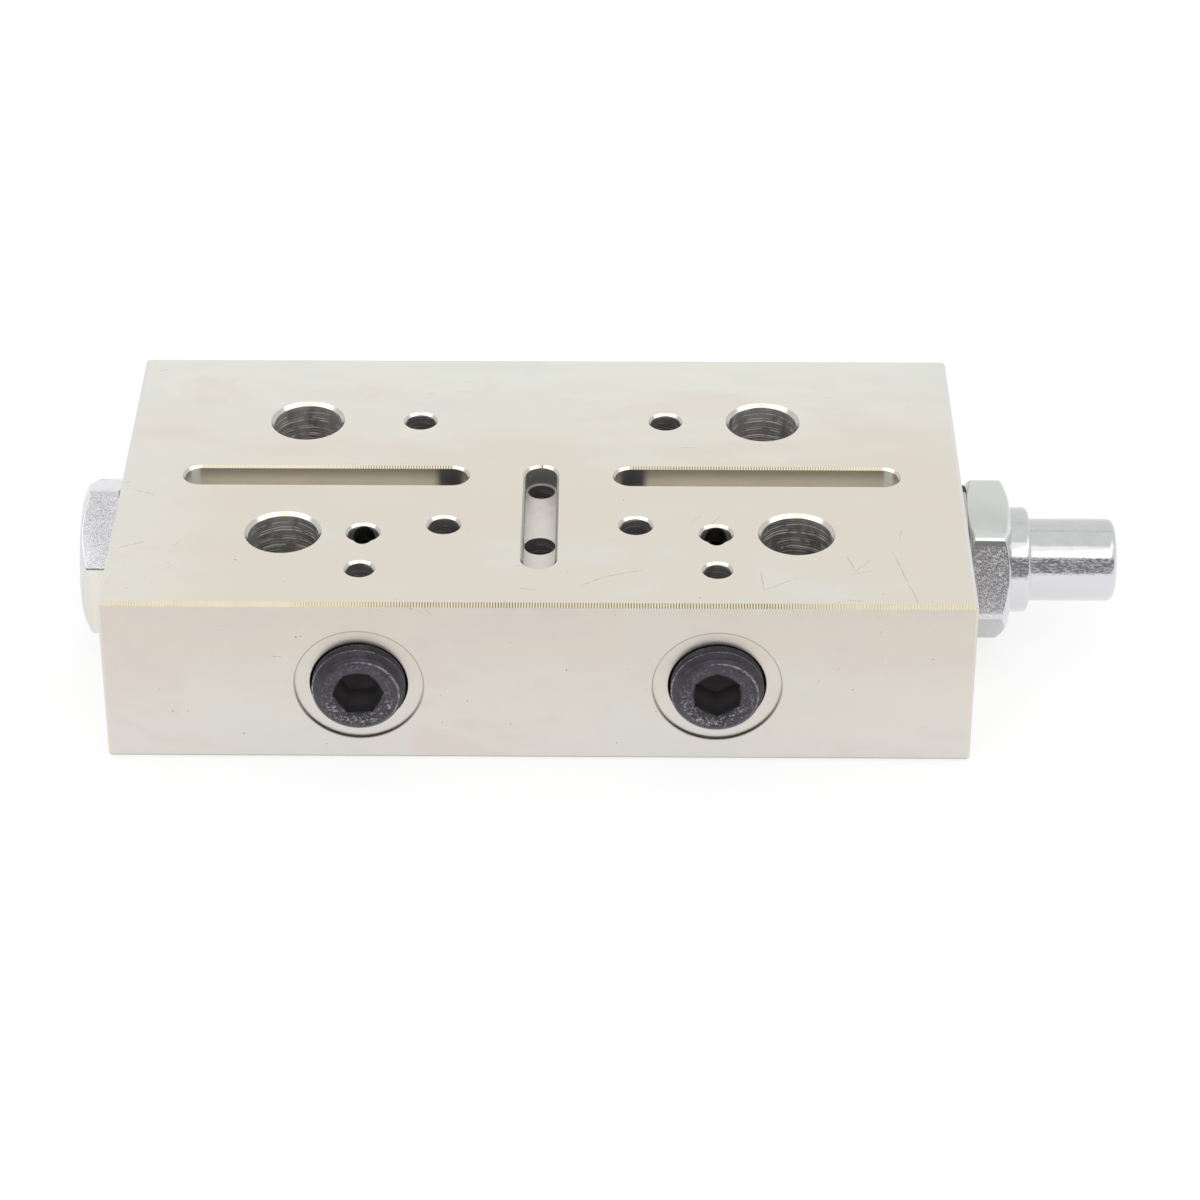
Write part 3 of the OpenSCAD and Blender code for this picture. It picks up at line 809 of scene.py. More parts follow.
    def build(self, effects: SharedEffects) -> bpy.types.Material:
        """Makes the material.

        Args:
            effects: Shared node groups.

        Returns:
            The material.
        """
        finish = Finish("plated_steel_worked")
        sheet, place = finish.sheet, finish.place
        places = BlockPlaces(finish)
        drill = sheet.group(effects.tool_rings, Along=places.z, Place=place, Pitch=self.ring_pitch)
        colour, ticks = self.edges(finish, places, self.skin(finish, places, effects))
        colour = sheet.mix(places.wall, colour, self.holes(finish, places, drill["Rings"], drill["Streaks"]))
        colour, port_gap_shade = self.outlets(finish, places, colour)
        hidden = sheet.most(places.wall, port_gap_shade)
        rough = sheet.scaled(sheet.noise(place, 0.35, 4.0, 0.6), 0.14, 0.27)
        rough = sheet.scaled(hidden, 0.12, sheet.scaled(places.rim, -0.12, rough))
        grain = finish.bump(sheet.noise(place, 1.6, 3.0, 0.6), 0.004, 0.5)
        height = sheet.scaled(drill["Rings"], places.wall, ticks)
        finish.set(Base_Color=colour, Metallic=sheet.scaled(hidden, -0.6, 1.0), Roughness=rough,
                   Normal=finish.bump(height, 0.02, 0.7, grain))
        return finish.material


@dataclass(frozen=True)
class BrightZinc:
    """Bright zinc on the end plugs: grained hexagon flats and smooth turned ends."""

    zinc: Colour = (0.715, 0.715, 0.74)
    turned_top_shade: Colour = (0.55, 0.555, 0.565)
    low_flat_shade: Colour = (0.47, 0.465, 0.465)
    shade: Colour = (0.64, 0.655, 0.63)
    lilac: Colour = (0.70, 0.685, 0.72)
    warm_reflection: Colour = (0.80, 0.77, 0.69)
    back_flat_shade: Colour = (0.57, 0.56, 0.61)
    valley: Colour = (0.26, 0.255, 0.27)
    sparkle: Colour = (0.86, 0.83, 0.845)
    speck: Colour = (0.14, 0.14, 0.14)
    grain_scale: float = 3.6
    grain_from_radius: float = 8.4
    ring_pitch: float = 0.16

    def build(self, effects: SharedEffects) -> bpy.types.Material:
        """Makes the material.

        Args:
            effects: Shared node groups.

        Returns:
            The material.
        """
        finish = Finish("bright_zinc_worked")
        sheet, place = finish.sheet, finish.place
        step, mix, times = sheet.step, sheet.mix, sheet.times
        x, y, z = sheet.split(place)
        nx, ny, nz = sheet.split(finish.normal)
        radius = sheet.radius(y, sheet.less(z, BLOCK.bore_height))
        inner = self.grain_from_radius
        turned = step(radius, inner, inner - 0.4)
        flats = times(step(radius, inner, inner + 0.6), step(sheet.size(nx), 0.3, 0.05))
        left = step(x, 0.0, -1.0)
        left_flats = times(flats, left)
        smooth_strip = times(step(z, 19.8, 20.4), step(x, 0.0, 1.0))
        grained = times(flats, step(ny, -0.3, -0.55), sheet.less(1.0, smooth_strip))
        left_grained = times(grained, left)
        grain = sheet.group(effects.grain, Place=place, Scale=self.grain_scale)
        rings = sheet.group(effects.tool_rings, Along=x, Place=place, Pitch=self.ring_pitch)
        pits = sheet.group(effects.specks, Place=place, Scale=0.8, Density=0.07)["Pits"]
        cloud = sheet.noise(place, 0.3, 3.0, 0.6)
        mottle = sheet.noise(sheet.stretch(place, (0.5, 1.0, 1.0)), 1.1, 4.0, 0.65)
        # Painted shade: faces that point up get the darker shade colour.
        colour = mix(step(nz, 0.45, 0.95), self.zinc, self.shade)
        # Painted shade with mottled tone: turned faces that point up are painted darker in patches.
        dull_tone_and_shade = times(turned, step(nz, 0.3, 0.8), step(mottle, 0.3, 0.7, 0.55, 1.0))
        colour = mix(dull_tone_and_shade, colour, self.turned_top_shade)
        # Painted shade: hexagon flats that face down are painted darker.
        colour = mix(times(step(nz, -0.2, -0.6), flats), colour, self.low_flat_shade)
        colour = mix(times(left_flats, step(cloud, 0.3, 0.6)), colour, self.lilac)
        # Painted shade: left flats that face back are painted darker.
        colour = mix(times(left_flats, step(ny, 0.2, 0.5)), colour, self.back_flat_shade)
        colour = mix(times(sheet.less(1.0, grain["Tone"]), left_grained, 0.62), colour, self.valley)
        sparkle = times(grain["Sparkle"], grained, step(nz, -0.3, -0.1), sheet.less(1.0, left))
        colour = mix(sparkle, colour, self.sparkle)
        # Painted reflection: the grained front flats of the left hexagon that do not face up get the cream of the
        # floor and block.
        colour = mix(times(left_grained, step(nz, 0.3, 0.0)), colour, self.warm_reflection)
        colour = mix(times(pits, 0.6), colour, self.speck)
        smooth = finish.bump(sheet.noise(place, 2.4, 3.0, 0.65), 0.012, 0.8)
        smooth = finish.bump(rings["Rings"], 0.002, 0.5, smooth)
        height = times(grain["Height"], grained, step(left, 0.0, 1.0, 0.35, 0.45))
        bloom = step(sheet.noise(sheet.stretch(place, (0.3, 1.0, 1.0)), 5.0, 3.0, 0.6), 0.44, 0.6)
        bloom = times(bloom, step(nz, 0.1, 0.25), step(nz, 0.62, 0.5), turned)
        rough = sheet.scaled(flats, 0.05, sheet.scaled(cloud, 0.06, 0.05))
        rough = sheet.scaled(sparkle, 0.6, sheet.scaled(bloom, 0.4, rough))
        finish.set(Base_Color=colour, Metallic=1.0, Roughness=rough,
                   Normal=finish.bump(height, 0.045, 1.0, smooth))
        return finish.material


@dataclass(frozen=True)
class BlackOxide:
    """Black oxide on the outlet plugs, rubbed pale round the socket and along the thread crests."""

    black: Colour = (0.032, 0.029, 0.035)
    violet: Colour = (0.056, 0.05, 0.066)
    scuff: Colour = (0.42, 0.41, 0.43)
    socket: Colour = (0.012, 0.011, 0.0115)
    socket_deep_light: Colour = (0.08, 0.073, 0.077)
    face_y: float = -36.4
    pitch: float = 1.41
    crest_share: float = 0.03

    def crests(self, sheet: NodeSheet, aside: Socket, up: Socket, y: Socket) -> Socket:
        """Finds the crest line of the thread.

        Args:
            sheet: Node tree.
            aside: Place to the right of the plug's axis.
            up: Place above the plug's axis.
            y: Place along the part's Y axis.

        Returns:
            The mask.
        """
        turn = sheet.math("DIVIDE", sheet.math("ARCTAN2", aside, up), math.tau)
        along = sheet.math("DIVIDE", sheet.less(y, self.face_y), self.pitch)
        phase = sheet.math("FRACT", sheet.math("ADD", sheet.less(along, turn), 1.5 - self.crest_share))
        return sheet.step(sheet.gap(phase, 0.5), 0.12, 0.04)

    def build(self, effects: SharedEffects) -> bpy.types.Material:
        """Makes the material.

        Args:
            effects: Shared node groups.

        Returns:
            The material.
        """
        finish = Finish("black_oxide_worked")
        sheet, place = finish.sheet, finish.place
        step, mix, times = sheet.step, sheet.mix, sheet.times
        x, y, z = sheet.split(place)
        aside = sheet.less(x, times(sheet.math("SIGN", x), BLOCK.outlet_x))
        up = sheet.less(z, BLOCK.outlet_height)
        radius = sheet.radius(aside, up)
        inside = times(step(radius, 4.05, 3.95), step(y, self.face_y + 0.35, self.face_y + 0.45))
        shown = sheet.less(1.0, inside)
        cloud = sheet.noise(place, 0.55, 4.0, 0.6)
        fine = sheet.noise(place, 2.6, 4.0, 0.7)
        colour = mix(step(cloud, 0.35, 0.68), self.black, self.violet)
        crest = times(self.crests(sheet, aside, up, y), step(radius, 5.3, 5.5), step(fine, 0.42, 0.62, 0.15, 1.0))
        rubbed = times(step(radius, 3.3, 3.9), step(radius, 5.6, 4.9), step(up, 2.0, -4.0, 0.2, 1.0),
                       step(fine, 0.5, 0.66))
        pits = sheet.group(effects.specks, Place=place, Scale=1.5, Density=0.14)["Pits"]
        wear = times(sheet.most(times(crest, 0.9), times(rubbed, 0.85), pits), shown)
        colour = mix(wear, colour, self.scuff)
        # Painted light: the socket's colour grows lighter towards its bottom, to even out its shade.
        socket = mix(step(y, self.face_y + 0.4, self.face_y + 4.5), self.socket, self.socket_deep_light)
        rough = sheet.most(sheet.scaled(cloud, 0.2, 0.36), times(inside, 0.95))
        finish.set(Base_Color=mix(inside, colour, socket), Metallic=times(sheet.scaled(wear, 0.4, 0.3), shown),
                   Roughness=rough, Normal=finish.bump(fine, 0.05, 0.6))
        return finish.material


@dataclass(frozen=True)
class GroundSteel:
    """Ground and lapped steel of the piston and the indicator rod."""

    steel: Colour = (0.56, 0.57, 0.59)
    dull_tone_and_shade: Colour = (0.46, 0.47, 0.48)
    ring_pitch: float = 0.12

    def build(self, effects: SharedEffects) -> bpy.types.Material:
        """Makes the material.

        Args:
            effects: Shared node groups.

        Returns:
            The material.
        """
        finish = Finish("ground_steel_worked")
        sheet, place = finish.sheet, finish.place
        rings = sheet.group(effects.tool_rings, Along=sheet.split(place)[0], Place=place, Pitch=self.ring_pitch)
        cloud = sheet.noise(place, 0.3, 3.0)
        finish.set(Base_Color=sheet.mix(sheet.step(cloud, 0.35, 0.65), self.steel, self.dull_tone_and_shade), Metallic=1.0,
                   Roughness=sheet.scaled(cloud, 0.12, 0.2), Normal=finish.bump(rings["Rings"], 0.002, 0.5))
        return finish.material


@dataclass(frozen=True)
class SealRubber:
    """Matt black rubber of the sealing rings, with a plated ring round the front of the right one."""

    rubber: Colour = (0.022, 0.022, 0.024)
    dust: Colour = (0.06, 0.058, 0.056)
    plated: Colour = (0.50, 0.50, 0.49)

    def build(self, effects: SharedEffects) -> bpy.types.Material:
        """Makes the material.

        Args:
            effects: Shared node groups.

        Returns:
            The material.
        """
        finish = Finish("seal_rubber_worked")
        sheet, place = finish.sheet, finish.place
        x, y, _ = sheet.split(place)
        fine = sheet.noise(place, 1.8, 3.0)
        pits = sheet.group(effects.specks, Place=place, Scale=1.1, Density=0.2)["Pits"]
        colour = sheet.mix(sheet.step(fine, 0.4, 0.75), self.rubber, self.dust)
        ring = sheet.times(sheet.step(y, 1.6, 1.0), sheet.step(x, 0.0, 1.0))
        finish.set(Base_Color=sheet.mix(ring, colour, self.plated), Roughness=sheet.scaled(fine, 0.2, 0.55),
                   Normal=finish.bump(sheet.less(fine, pits), 0.02, 0.5))
        return finish.material


class Bench:
    """Modelling steps that the turned and milled pieces share. Sizes are in millimetres."""

    STEPS = 96
    FEW_STEPS = 48
    THREAD_FORM = ((0.0, 1.0), (0.10, 1.0), (0.46, 0.0), (0.60, 0.0), (0.96, 1.0), (1.0, 1.0))

    @staticmethod
    def clear() -> None:
        """Leaves edit mode and deselects everything."""
        active = bpy.context.view_layer.objects.active
        if active is not None and active.mode != "OBJECT":
            bpy.ops.object.mode_set(mode="OBJECT")
        bpy.ops.object.select_all(action="DESELECT")

    @classmethod
    def pick(cls, piece: bpy.types.Object) -> None:
        """Selects one piece alone and makes it active."""
        cls.clear()
        bpy.context.view_layer.objects.active = piece
        piece.select_set(True)

    @staticmethod
    def fix_place() -> None:
        """Writes the selected piece's place, turn and scale into its mesh."""
        bpy.ops.object.transform_apply(location=True, rotation=True, scale=True)

    @classmethod
    def outline(cls, name: str, stations: Sequence[Station], axis: Axis) -> bpy.types.Object:
        """Draws an open outline from one point by extruding it from station to station.

        Args:
            name: Name of the piece.
            stations: Places along the axis and radii.
            axis: Axis that the outline is drawn along.

        Returns:
            The piece, left in edit mode with the last point selected.
        """
        cls.clear()
        bpy.ops.mesh.primitive_plane_add(size=MM)
        piece = bpy.context.active_object
        piece.name = name
        bpy.ops.object.mode_set(mode="EDIT")
        bpy.ops.mesh.select_all(action="SELECT")
        bpy.ops.mesh.merge(type="CENTER")
        points = [(Vector(axis.value) * along + Vector((0, 0, radius))) * MM for along, radius in stations]
        bpy.ops.transform.translate(value=points[0])
        for before, after in zip(points, points[1:]):
            bpy.ops.mesh.extrude_region_move(TRANSFORM_OT_translate={"value": after - before})
        return piece

    @classmethod
    def turned(cls, name: str, stations: Sequence[Station], axis: Axis, steps: int = STEPS) -> bpy.types.Object:
        """Spins an outline about an axis through the origin.

        Args:
            name: Name of the piece.
            stations: Places along the axis and radii, from pole to pole.
            axis: Axis of the turned piece.
            steps: Segments round the axis.

        Returns:
            The closed piece, in object mode.
        """
        piece = cls.outline(name, stations, axis)
        bpy.ops.mesh.select_all(action="SELECT")
        bpy.ops.mesh.spin(steps=steps, angle=math.tau, center=(0, 0, 0), axis=axis.value)
        cls.close()
        return piece

    @staticmethod
    def close() -> None:
        """Merges doubles, turns the faces outwards and leaves edit mode."""
        bpy.ops.mesh.select_all(action="SELECT")
        bpy.ops.mesh.remove_doubles(threshold=MERGE)
        bpy.ops.mesh.normals_make_consistent(inside=False)
        bpy.ops.object.mode_set(mode="OBJECT")

    @classmethod
    def apply(cls, piece: bpy.types.Object, kind: str, **settings: object) -> None:
        """Adds a modifier to a piece and applies it.

        Args:
            piece: The piece.
            kind: Blender's name of the modifier type.
            settings: Properties of the modifier.
        """
        cls.pick(piece)
        modifier = piece.modifiers.new(kind.lower(), kind)
        for name, value in settings.items():
            setattr(modifier, name, value)
        bpy.ops.object.modifier_apply(modifier=modifier.name)

    @classmethod
    def round_edges(cls, piece: bpy.types.Object, size: float, steps: int, angle: float, clamp: bool) -> None:
        """Bevels the edges of a piece that are sharper than an angle.

        Args:
            piece: The piece.
            size: Width of the bevel.
            steps: Segments across the bevel.
            angle: Least angle in degrees.
            clamp: Whether bevels stop where they meet.
        """
        cls.apply(piece, "BEVEL", width=size * MM, segments=steps, limit_method="ANGLE",
                  angle_limit=math.radians(angle), use_clamp_overlap=clamp)

    @classmethod
    def cut(cls, piece: bpy.types.Object, other: bpy.types.Object, how: Cut) -> None:
        """Combines a piece with another one, which is then deleted.

        Args:
            piece: Piece that is kept.
            other: Piece that is used up.
            how: Operation.
        """
        cls.apply(piece, "BOOLEAN", operation=how.value, solver="EXACT", object=other)
        mesh = other.data
        bpy.data.objects.remove(other)
        bpy.data.meshes.remove(mesh)

    @classmethod
    def hexagon(cls, name: str, across_flats: float, low: float, high: float, turn: float,
                axis: Axis) -> bpy.types.Object:
        """Makes a hexagon bar about an axis through the origin.

        Args:
            name: Name of the piece.
            across_flats: Width across flats.
            low: Start along the axis.
            high: End along the axis.
            turn: Angle of a corner, from +Y towards +Z about X, or from +X towards +Z about Y.
            axis: Axis of the bar.

        Returns:
            The bar, with its place in its mesh.
        """
        cls.clear()
        bpy.ops.mesh.primitive_cylinder_add(vertices=6, radius=across_flats / 2 / HEX_COS * MM,
                                            depth=(high - low) * MM, location=(0, 0, (low + high) / 2 * MM))
        bar = bpy.context.active_object
        bar.name = name
        cls.fix_place()
        spin = Matrix.Rotation(math.radians(turn if axis is Axis.X else -turn), 4, "Z")
        lie = {Axis.X: Matrix(((0, 0, 1, 0), (0, 1, 0, 0), (-1, 0, 0, 0), (0, 0, 0, 1))),
               Axis.Y: Matrix(((0, 1, 0, 0), (0, 0, 1, 0), (1, 0, 0, 0), (0, 0, 0, 1)))}[axis]
        bar.matrix_world = lie @ spin
        cls.fix_place()
        return bar

    @classmethod
    def thread(cls, name: str, crest: float, depth: float, pitch: float, low: float, high: float,
               axis: Axis, turn: float = 0.0) -> bpy.types.Object:
        """Makes a screwed rod with its ends closed, two turns longer than asked at each end.

        Args:
            name: Name of the piece.
            crest: Radius of the crests.
            depth: Depth of the thread.
            pitch: Pitch of the thread.
            low: Start along the axis.
            high: End along the axis.
            axis: Axis of the rod.
            turn: Angle that the thread is turned by.

        Returns:
            The rod.
        """
        start = low - 2 * pitch
        stations = [(start + share * pitch, crest - drop * depth) for share, drop in cls.THREAD_FORM]
        rod = cls.outline(name, stations, axis)
        bpy.ops.object.mode_set(mode="OBJECT")
        turns = math.ceil((high - low) / pitch) + 4
        cls.apply(rod, "SCREW", axis=axis.name, angle=math.tau, screw_offset=pitch * MM, iterations=turns,
                  steps=cls.STEPS, render_steps=cls.STEPS, use_merge_vertices=True, merge_threshold=MERGE)
        bpy.ops.object.mode_set(mode="EDIT")
        bpy.ops.mesh.select_all(action="SELECT")
        bpy.ops.mesh.remove_doubles(threshold=MERGE)
        bpy.ops.mesh.fill_holes(sides=0)
        cls.close()
        rod.matrix_world = Matrix.Rotation(math.pi / cls.STEPS + math.radians(turn), 4, axis.name)
        cls.fix_place()
        return rod

    @classmethod
    def settle(cls, piece: bpy.types.Object, shift: Sequence[float]) -> None:
        """Moves a piece's mesh into place, cleans it and shades it by angle.

        Args:
            piece: The piece.
            shift: Way to move it.
        """
        cls.pick(piece)
        piece.location = Vector(shift) * MM
        cls.fix_place()
        bpy.ops.object.mode_set(mode="EDIT")
        bpy.ops.mesh.select_all(action="SELECT")
        bpy.ops.mesh.dissolve_degenerate(threshold=MERGE)
        bpy.ops.mesh.select_all(action="SELECT")
        bpy.ops.mesh.fill_holes(sides=8)
        cls.close()
        bpy.ops.object.shade_smooth_by_angle(angle=math.radians(32))


@dataclass
class Plug:
    """Screwed plug that takes the place of a CAD node."""

    slot: ClassVar[Slot]
    name: str
    replaces: str

    def dress(self, piece: bpy.types.Object, finish: bpy.types.Material) -> None:
        """Gives the plug its finish and its place in the part.

        Args:
            piece: The plug.
            finish: Its material.
        """
        piece.data.materials.clear()
        piece.data.materials.append(finish)
        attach(piece, HOUSING)
        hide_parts(self.replaces)


@dataclass
class OutletPlug(Plug):
    """Black tapered pipe plug with a hexagon socket. Its own axis starts at its outer face."""

    slot: ClassVar[Slot] = Slot.BLACK
    centre_x: float
    socket_turn: float
    face_y: float = -36.4
    length: float = 11.0
    stand: float = 2.8
    thread_radius: float = 6.6
    inner_radius: float = 6.344
    chamfer: float = 1.2
    edge_soft: float = 0.15
    pitch: float = 1.41
    thread_depth: float = 0.72
    crest_over: float = 0.04
    thread_turn: float = 180.0
    socket_flats: float = 6.35
    socket_depth: float = 6.2
    point_depth: float = 1.9
    lead_radius: float = 4.1

    def screwed_body(self) -> bpy.types.Object:
        """Models the tapered, screwed body.

        Returns:
            The body.
        """
        soft, rim = self.edge_soft, self.thread_radius - self.chamfer
        envelope = Bench.turned("plug_envelope", (
            (0.0, 0.0), (0.0, rim - soft), (soft * 0.4, rim), (self.chamfer, self.thread_radius),
            (self.stand, self.thread_radius), (self.length - soft, self.inner_radius),
            (self.length, self.inner_radius - soft), (self.length, 0.0)), Axis.Y)
        body = Bench.thread(self.name, self.thread_radius + self.crest_over, self.thread_depth, self.pitch, 0.0,
                            self.length, Axis.Y, self.thread_turn)
        Bench.cut(body, envelope, Cut.KEEP_COMMON)
        return body

    def build(self) -> bpy.types.Object:
        """Models the plug with its socket, the socket's lead and its drill point.

        Returns:
            The finished piece.
        """
        plug = self.screwed_body()
        flat, end = self.socket_flats / 2, self.socket_depth - 0.2
        socket = Bench.hexagon("plug_socket", self.socket_flats, -1.0, self.socket_depth, self.socket_turn, Axis.Y)
        Bench.cut(plug, socket, Cut.TAKE_AWAY)
        reach = (self.lead_radius - flat / HEX_COS) * CHAMFER_SLOPE + CHAMFER_SLOPE
        lead = Bench.turned("plug_lead", (
            (-0.5, 0.0), (-0.5, self.lead_radius + 0.5 / CHAMFER_SLOPE),
            (reach, self.lead_radius - reach / CHAMFER_SLOPE), (reach, 0.0)), Axis.Y, Bench.FEW_STEPS)
        Bench.cut(plug, lead, Cut.TAKE_AWAY)
        point = Bench.turned("plug_point", (
            (end, 0.0), (end, flat - 0.02), (self.socket_depth + self.point_depth, 0.0)), Axis.Y, Bench.FEW_STEPS)
        Bench.cut(plug, point, Cut.TAKE_AWAY)
        Bench.settle(plug, (self.centre_x, self.face_y, BLOCK.outlet_height))
        return plug


@dataclass
class EndPlug(Plug):
    """Hexagon plug that closes one end of the piston bore. Its own axis starts under the hexagon."""

    slot: ClassVar[Slot] = Slot.ZINC
    side: int
    hex_thickness: float
    hex_turn: float
    inner_chamfer: bool = False
    hex_flats: float = 21.3
    face_share: float = 0.95
    seal_thickness: float = 0.5
    thread_radius: float = 7.95
    thread_length: float = 7.6
    thread_lead: float = 0.8
    pitch: float = 1.41
    thread_depth: float = 0.8
    crest_over: float = 0.03
    neck_into_head: float = 0.8
    corner_round: float = 0.9
    edge_round: float = 0.2

    @property
    def inner_end(self) -> float:
        """Place of the shank's inner end along the plug's axis."""
        return -self.seal_thickness - self.thread_length

    def head(self) -> bpy.types.Object:
        """Models the hexagon with rounded corners, conical chamfers and softened edges.

        Returns:
            The hexagon.
        """
        face = self.hex_flats / 2 * self.face_share
        far = self.hex_flats / 2 / HEX_COS + 1.0
        drop = (far - face) * CHAMFER_SLOPE
        turn = self.hex_turn if self.side > 0 else 180.0 - self.hex_turn
        head = Bench.hexagon(self.name, self.hex_flats, -1.0, self.hex_thickness + 1.0, turn, Axis.X)
        Bench.round_edges(head, self.corner_round, 5, 50, True)
        start = ((0.0, face), (drop, far)) if self.inner_chamfer else ((0.0, far),)
        cone = Bench.turned("hex_cone", ((0.0, 0.0), *start, (self.hex_thickness - drop, far),
                                         (self.hex_thickness, face), (self.hex_thickness, 0.0)), Axis.X)
        Bench.cut(head, cone, Cut.KEEP_COMMON)
        Bench.round_edges(head, self.edge_round, 3, 24, False)
        return head

    def shank(self) -> bpy.types.Object:
        """Models the screwed end that goes into the block.

        Returns:
            The shank.
        """
        inner, seat, top = self.inner_end, -self.seal_thickness, self.neck_into_head
        neck = self.thread_radius - self.thread_depth - 0.1
        envelope = Bench.turned("shank_envelope", (
            (inner, 0.0), (inner, self.thread_radius - self.thread_lead),
            (inner + self.thread_lead, self.thread_radius), (seat - 0.6, self.thread_radius),
            (seat - 0.3, neck), (top, neck), (top, 0.0)), Axis.X)
        shank = Bench.thread("shank", self.thread_radius + self.crest_over, self.thread_depth + self.crest_over,
                             self.pitch, inner, top, Axis.X)
        Bench.cut(shank, envelope, Cut.KEEP_COMMON)
        return shank

    def shape(self, plug: bpy.types.Object) -> None:
        """Works the outer end of the plug, which is plain here."""

    def build(self) -> bpy.types.Object:
        """Models the plug and puts it in its end of the block, turned round for the left end.

        Returns:
            The finished piece.
        """
        plug = self.head()
        Bench.cut(plug, self.shank(), Cut.ADD)
        self.shape(plug)
        if self.side < 0:
            Bench.pick(plug)
            plug.rotation_euler = (0, 0, math.pi)
            Bench.fix_place()
        Bench.settle(plug, (self.side * (BLOCK.length / 2 + self.seal_thickness), 0, BLOCK.bore_height))
        return plug


@dataclass
class IndicatorPlug(EndPlug):
    """End plug with a collar and a closed nose, bored for the indicator rod."""

    collar_radius: float = 7.8
    collar_length: float = 3.1
    collar_round: float = 0.7
    nose_radius: float = 6.1
    nose_length: float = 12.8
    nose_round: float = 1.1
    nose_root: float = 0.15
    bore_radius: float = 3.35
    end_wall: float = 2.2

    @staticmethod
    def rounded(along: float, radius: float, size: float, steps: int = 6) -> list[Station]:
        """Gives the stations of a rounded outer edge.

        Args:
            along: Place of the end face.
            radius: Outer radius.
            size: Radius of the rounding.
            steps: Number of segments.

        Returns:
            Stations from the outer wall to the end face.
        """
        angles = [math.pi / 2 * step / steps for step in range(steps + 1)]
        return [(along - size + size * math.sin(a), radius - size + size * math.cos(a)) for a in angles]

    def shape(self, plug: bpy.types.Object) -> None:
        """Adds the collar and the nose and bores the plug.

        Args:
            plug: The plug so far.
        """
        root, start = self.nose_root, self.hex_thickness - 1.0
        collar_end = self.hex_thickness + self.collar_length
        tip = collar_end + self.nose_length
        nose = Bench.turned("nose", [(start, 0.0), (start, self.collar_radius),
                                     *self.rounded(collar_end, self.collar_radius, self.collar_round),
                                     (collar_end, self.nose_radius + root), (collar_end + root, self.nose_radius),
                                     *self.rounded(tip, self.nose_radius, self.nose_round), (tip, 0.0)], Axis.X)
        Bench.cut(plug, nose, Cut.ADD)
        mouth, end = self.inner_end - 1.0, tip - self.end_wall
        bore = Bench.turned("rod_bore", ((mouth, 0.0), (mouth, self.bore_radius), (end, self.bore_radius),
                                         (end, 0.0)), Axis.X, Bench.FEW_STEPS)
        Bench.cut(plug, bore, Cut.TAKE_AWAY)


@dataclass
class CadPiece:
    """CAD node that is shown as it is, with a worked finish."""

    node: str

    def dress(self, finish: bpy.types.Material) -> None:
        """Puts the finish on the node.

        Args:
            finish: Its material.
        """
        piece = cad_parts[self.node]
        piece.data.materials.clear()
        piece.data.materials.append(finish)


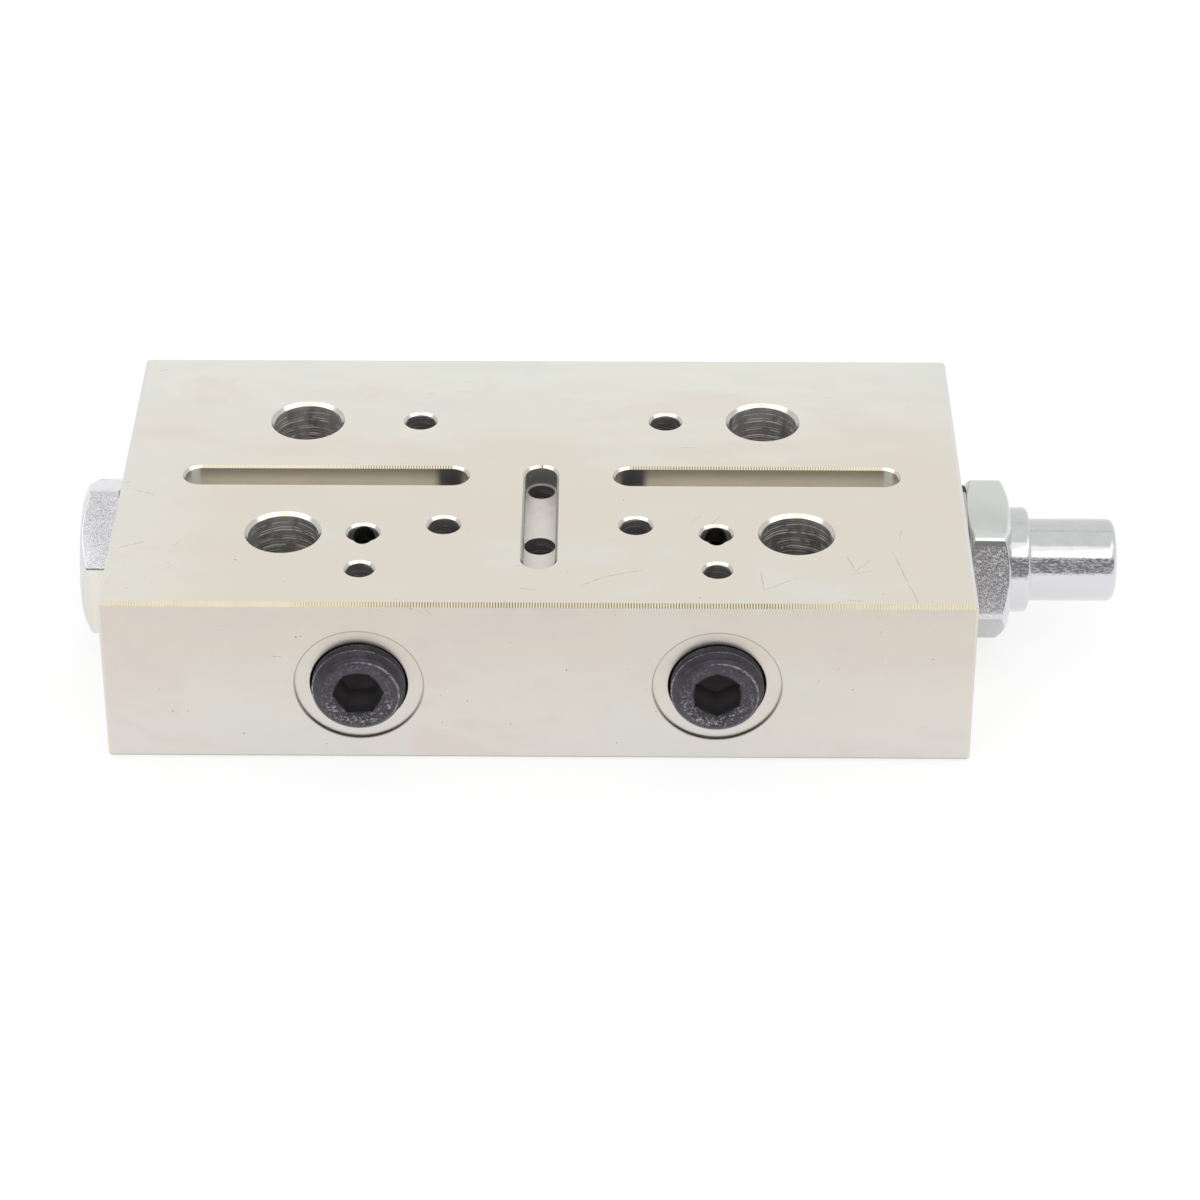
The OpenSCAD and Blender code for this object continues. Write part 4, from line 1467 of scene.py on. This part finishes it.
@dataclass
class Studio:
    """Floor, light and camera. Angles in degrees, lengths in metres."""

    eye_elevation: float = 32.565
    eye_azimuth: float = 1.118
    eye_roll: float = -0.363
    eye_distance: float = 0.56819
    target: tuple[float, float, float] = (0.000711, 0.0, 0.018353)
    focal_px: float = 3844.4
    principal_px: tuple[float, float] = (546.5, 522.7)
    floor_size: float = 12.0
    floor_drop: float = 0.00005
    floor_tone: float = 0.87
    floor_light: float = 1.05
    floor_share: float = 0.75

    @staticmethod
    def toward(azimuth: float, elevation: float) -> Vector:
        """Returns the direction at an azimuth, 0 in front and 90 to the right, and an elevation."""
        turn, rise = math.radians(azimuth), math.radians(elevation)
        return Vector((math.sin(turn) * math.cos(rise), -math.cos(turn) * math.cos(rise), math.sin(rise)))

    def camera(self) -> None:
        """Sets the camera where the photograph was taken from."""
        azimuth, roll = math.radians(self.eye_azimuth), math.radians(self.eye_roll)
        back = self.toward(self.eye_azimuth, self.eye_elevation)
        level = Vector((math.cos(azimuth), math.sin(azimuth), 0.0))
        upright = back.cross(level)
        right = level * math.cos(roll) + upright * math.sin(roll)
        up = upright * math.cos(roll) - level * math.sin(roll)
        data = bpy.data.cameras.new("photo_camera")
        data.sensor_width = 36.0
        data.lens = self.focal_px / PHOTO_SIDE * data.sensor_width
        data.shift_x = 0.5 - self.principal_px[0] / PHOTO_SIDE
        data.shift_y = self.principal_px[1] / PHOTO_SIDE - 0.5
        data.clip_start, data.clip_end = 0.01, 50.0
        camera = bpy.data.objects.new("photo_camera", data)
        place = Matrix((right, up, back)).transposed().to_4x4()
        place.translation = Vector(self.target) + back * self.eye_distance
        camera.matrix_world = place
        bpy.context.scene.collection.objects.link(camera)
        bpy.context.scene.camera = camera

    def floor(self) -> None:
        """Lays the pale floor, which keeps the part's shadow."""
        Bench.clear()
        bpy.ops.mesh.primitive_plane_add(size=self.floor_size, location=(0, 0, -self.floor_drop))
        floor = bpy.context.active_object
        floor.name = "studio_floor"
        material, sheet = empty_material("studio_floor")
        matt = sheet.add("ShaderNodeBsdfDiffuse")
        sheet.feed(matt.inputs["Color"], (self.floor_tone,) * 3)
        glow = sheet.add("ShaderNodeEmission")
        sheet.feed(glow.inputs["Strength"], self.floor_light)
        lit = sheet.add("ShaderNodeMixShader")
        for socket, value in zip(lit.inputs, (self.floor_share, matt.outputs[0], glow.outputs[0])):
            sheet.feed(socket, value)
        sheet.end("ShaderNodeOutputMaterial", lit.outputs[0])
        floor.data.materials.append(material)

    @staticmethod
    def sky() -> None:
        """Makes a plain white studio."""
        world = bpy.data.worlds.new("studio")
        bpy.context.scene.world = world
        world.use_nodes = True
        world.node_tree.nodes.clear()
        sheet = NodeSheet(world.node_tree)
        background = sheet.add("ShaderNodeBackground")
        sheet.feed(background.inputs["Color"], (1.0, 1.0, 1.0))
        sheet.end("ShaderNodeOutputWorld", background.outputs[0])

    def softbox(self, name: str, azimuth: float, elevation: float, distance: float, size: tuple[float, float],
                level: float) -> None:
        """Hangs one softbox that points at the part.

        Args:
            name: Name of the lamp.
            azimuth: Angle round the part.
            elevation: Angle above the floor.
            distance: Distance from the part.
            size: Width and height of the lamp.
            level: Brightness that its face adds to the white studio, where 1 is white.
        """
        back = self.toward(azimuth, elevation)
        data = bpy.data.lights.new(name, "AREA")
        data.shape = "RECTANGLE"
        data.size, data.size_y = size
        data.energy = level * math.pi * size[0] * size[1]
        lamp = bpy.data.objects.new(name, data)
        lamp.location = back * distance
        lamp.rotation_mode = "QUATERNION"
        lamp.rotation_quaternion = back.to_track_quat("Z", "Y")
        bpy.context.scene.collection.objects.link(lamp)

    def flag(self, name: str, place: Sequence[float], elevation: float, size: tuple[float, float],
             level: float) -> None:
        """Stands a dark card that only reflections show.

        Args:
            name: Name of the card.
            place: Middle of the card.
            elevation: Angle that the card faces, 0 for upright.
            size: Width and height.
            level: Brightness of the card, where 1 is white.
        """
        Bench.clear()
        bpy.ops.mesh.primitive_plane_add(size=1.0, location=place, rotation=(math.radians(90 - elevation), 0, 0))
        card = bpy.context.active_object
        card.name = name
        card.scale = (*size, 1.0)
        Bench.fix_place()
        material, sheet = empty_material(name)
        glow = sheet.add("ShaderNodeEmission")
        sheet.feed(glow.inputs["Strength"], level)
        sheet.end("ShaderNodeOutputMaterial", glow.outputs[0])
        card.data.materials.append(material)
        for ray in ("camera", "diffuse", "shadow", "volume_scatter"):
            setattr(card, f"visible_{ray}", False)

    def build(self) -> None:
        """Sets up the whole studio."""
        self.camera()
        self.floor()
        self.sky()
        self.softbox("front_softbox", 0, 54, 1.0, (0.75, 0.6), 0.45)
        self.softbox("left_softbox", -55, 47, 1.2, (1.3, 0.5), 0.7)
        self.softbox("right_softbox", 55, 47, 1.2, (1.3, 0.5), 0.7)
        self.flag("front_flag", (0.0, -0.115, 0.05), 0.0, (1.2, 0.0987), 0.25)
        self.flag("boom", tuple(self.toward(180, 60) * 0.7), -60.0, (1.2, 0.012), 0.35)
        bpy.context.scene.view_settings.view_transform = "Standard"


def main() -> None:
    """Builds the pieces in order and dresses them."""
    logging.basicConfig(level=logging.INFO, format="%(name)s: %(message)s")
    effects = SharedEffects()
    plated, zinc, black, ground, rubber = (
        finish().build(effects) for finish in (PlatedSteel, BrightZinc, BlackOxide, GroundSteel, SealRubber))
    for node, finish in (("valve_block", plated), ("metering_piston", ground), ("indicator_rod", ground),
                         ("left_end_seal", rubber), ("indicator_plug_seal", rubber)):
        CadPiece(node).dress(finish)
        LOG.info("dressed %s", node)
    plugs = (
        (OutletPlug("left_outlet_plug_threaded", "left_outlet_plug", -BLOCK.outlet_x, 4.0), black),
        (OutletPlug("right_outlet_plug_threaded", "right_outlet_plug", BLOCK.outlet_x, 30.0), black),
        (EndPlug("left_end_plug_threaded", "left_end_plug", -1, 5.5, 36.5, corner_round=0.35), zinc),
        (IndicatorPlug("indicator_plug_threaded", "indicator_plug", 1, 6.7, 12.5, inner_chamfer=True), zinc),
    )
    for plug, finish in plugs:
        piece = plug.build()
        plug.dress(piece, finish)
        LOG.info("built %s with %d faces", piece.name, len(piece.data.polygons))
    Studio().build()


if __name__ == "__main__":
    main()
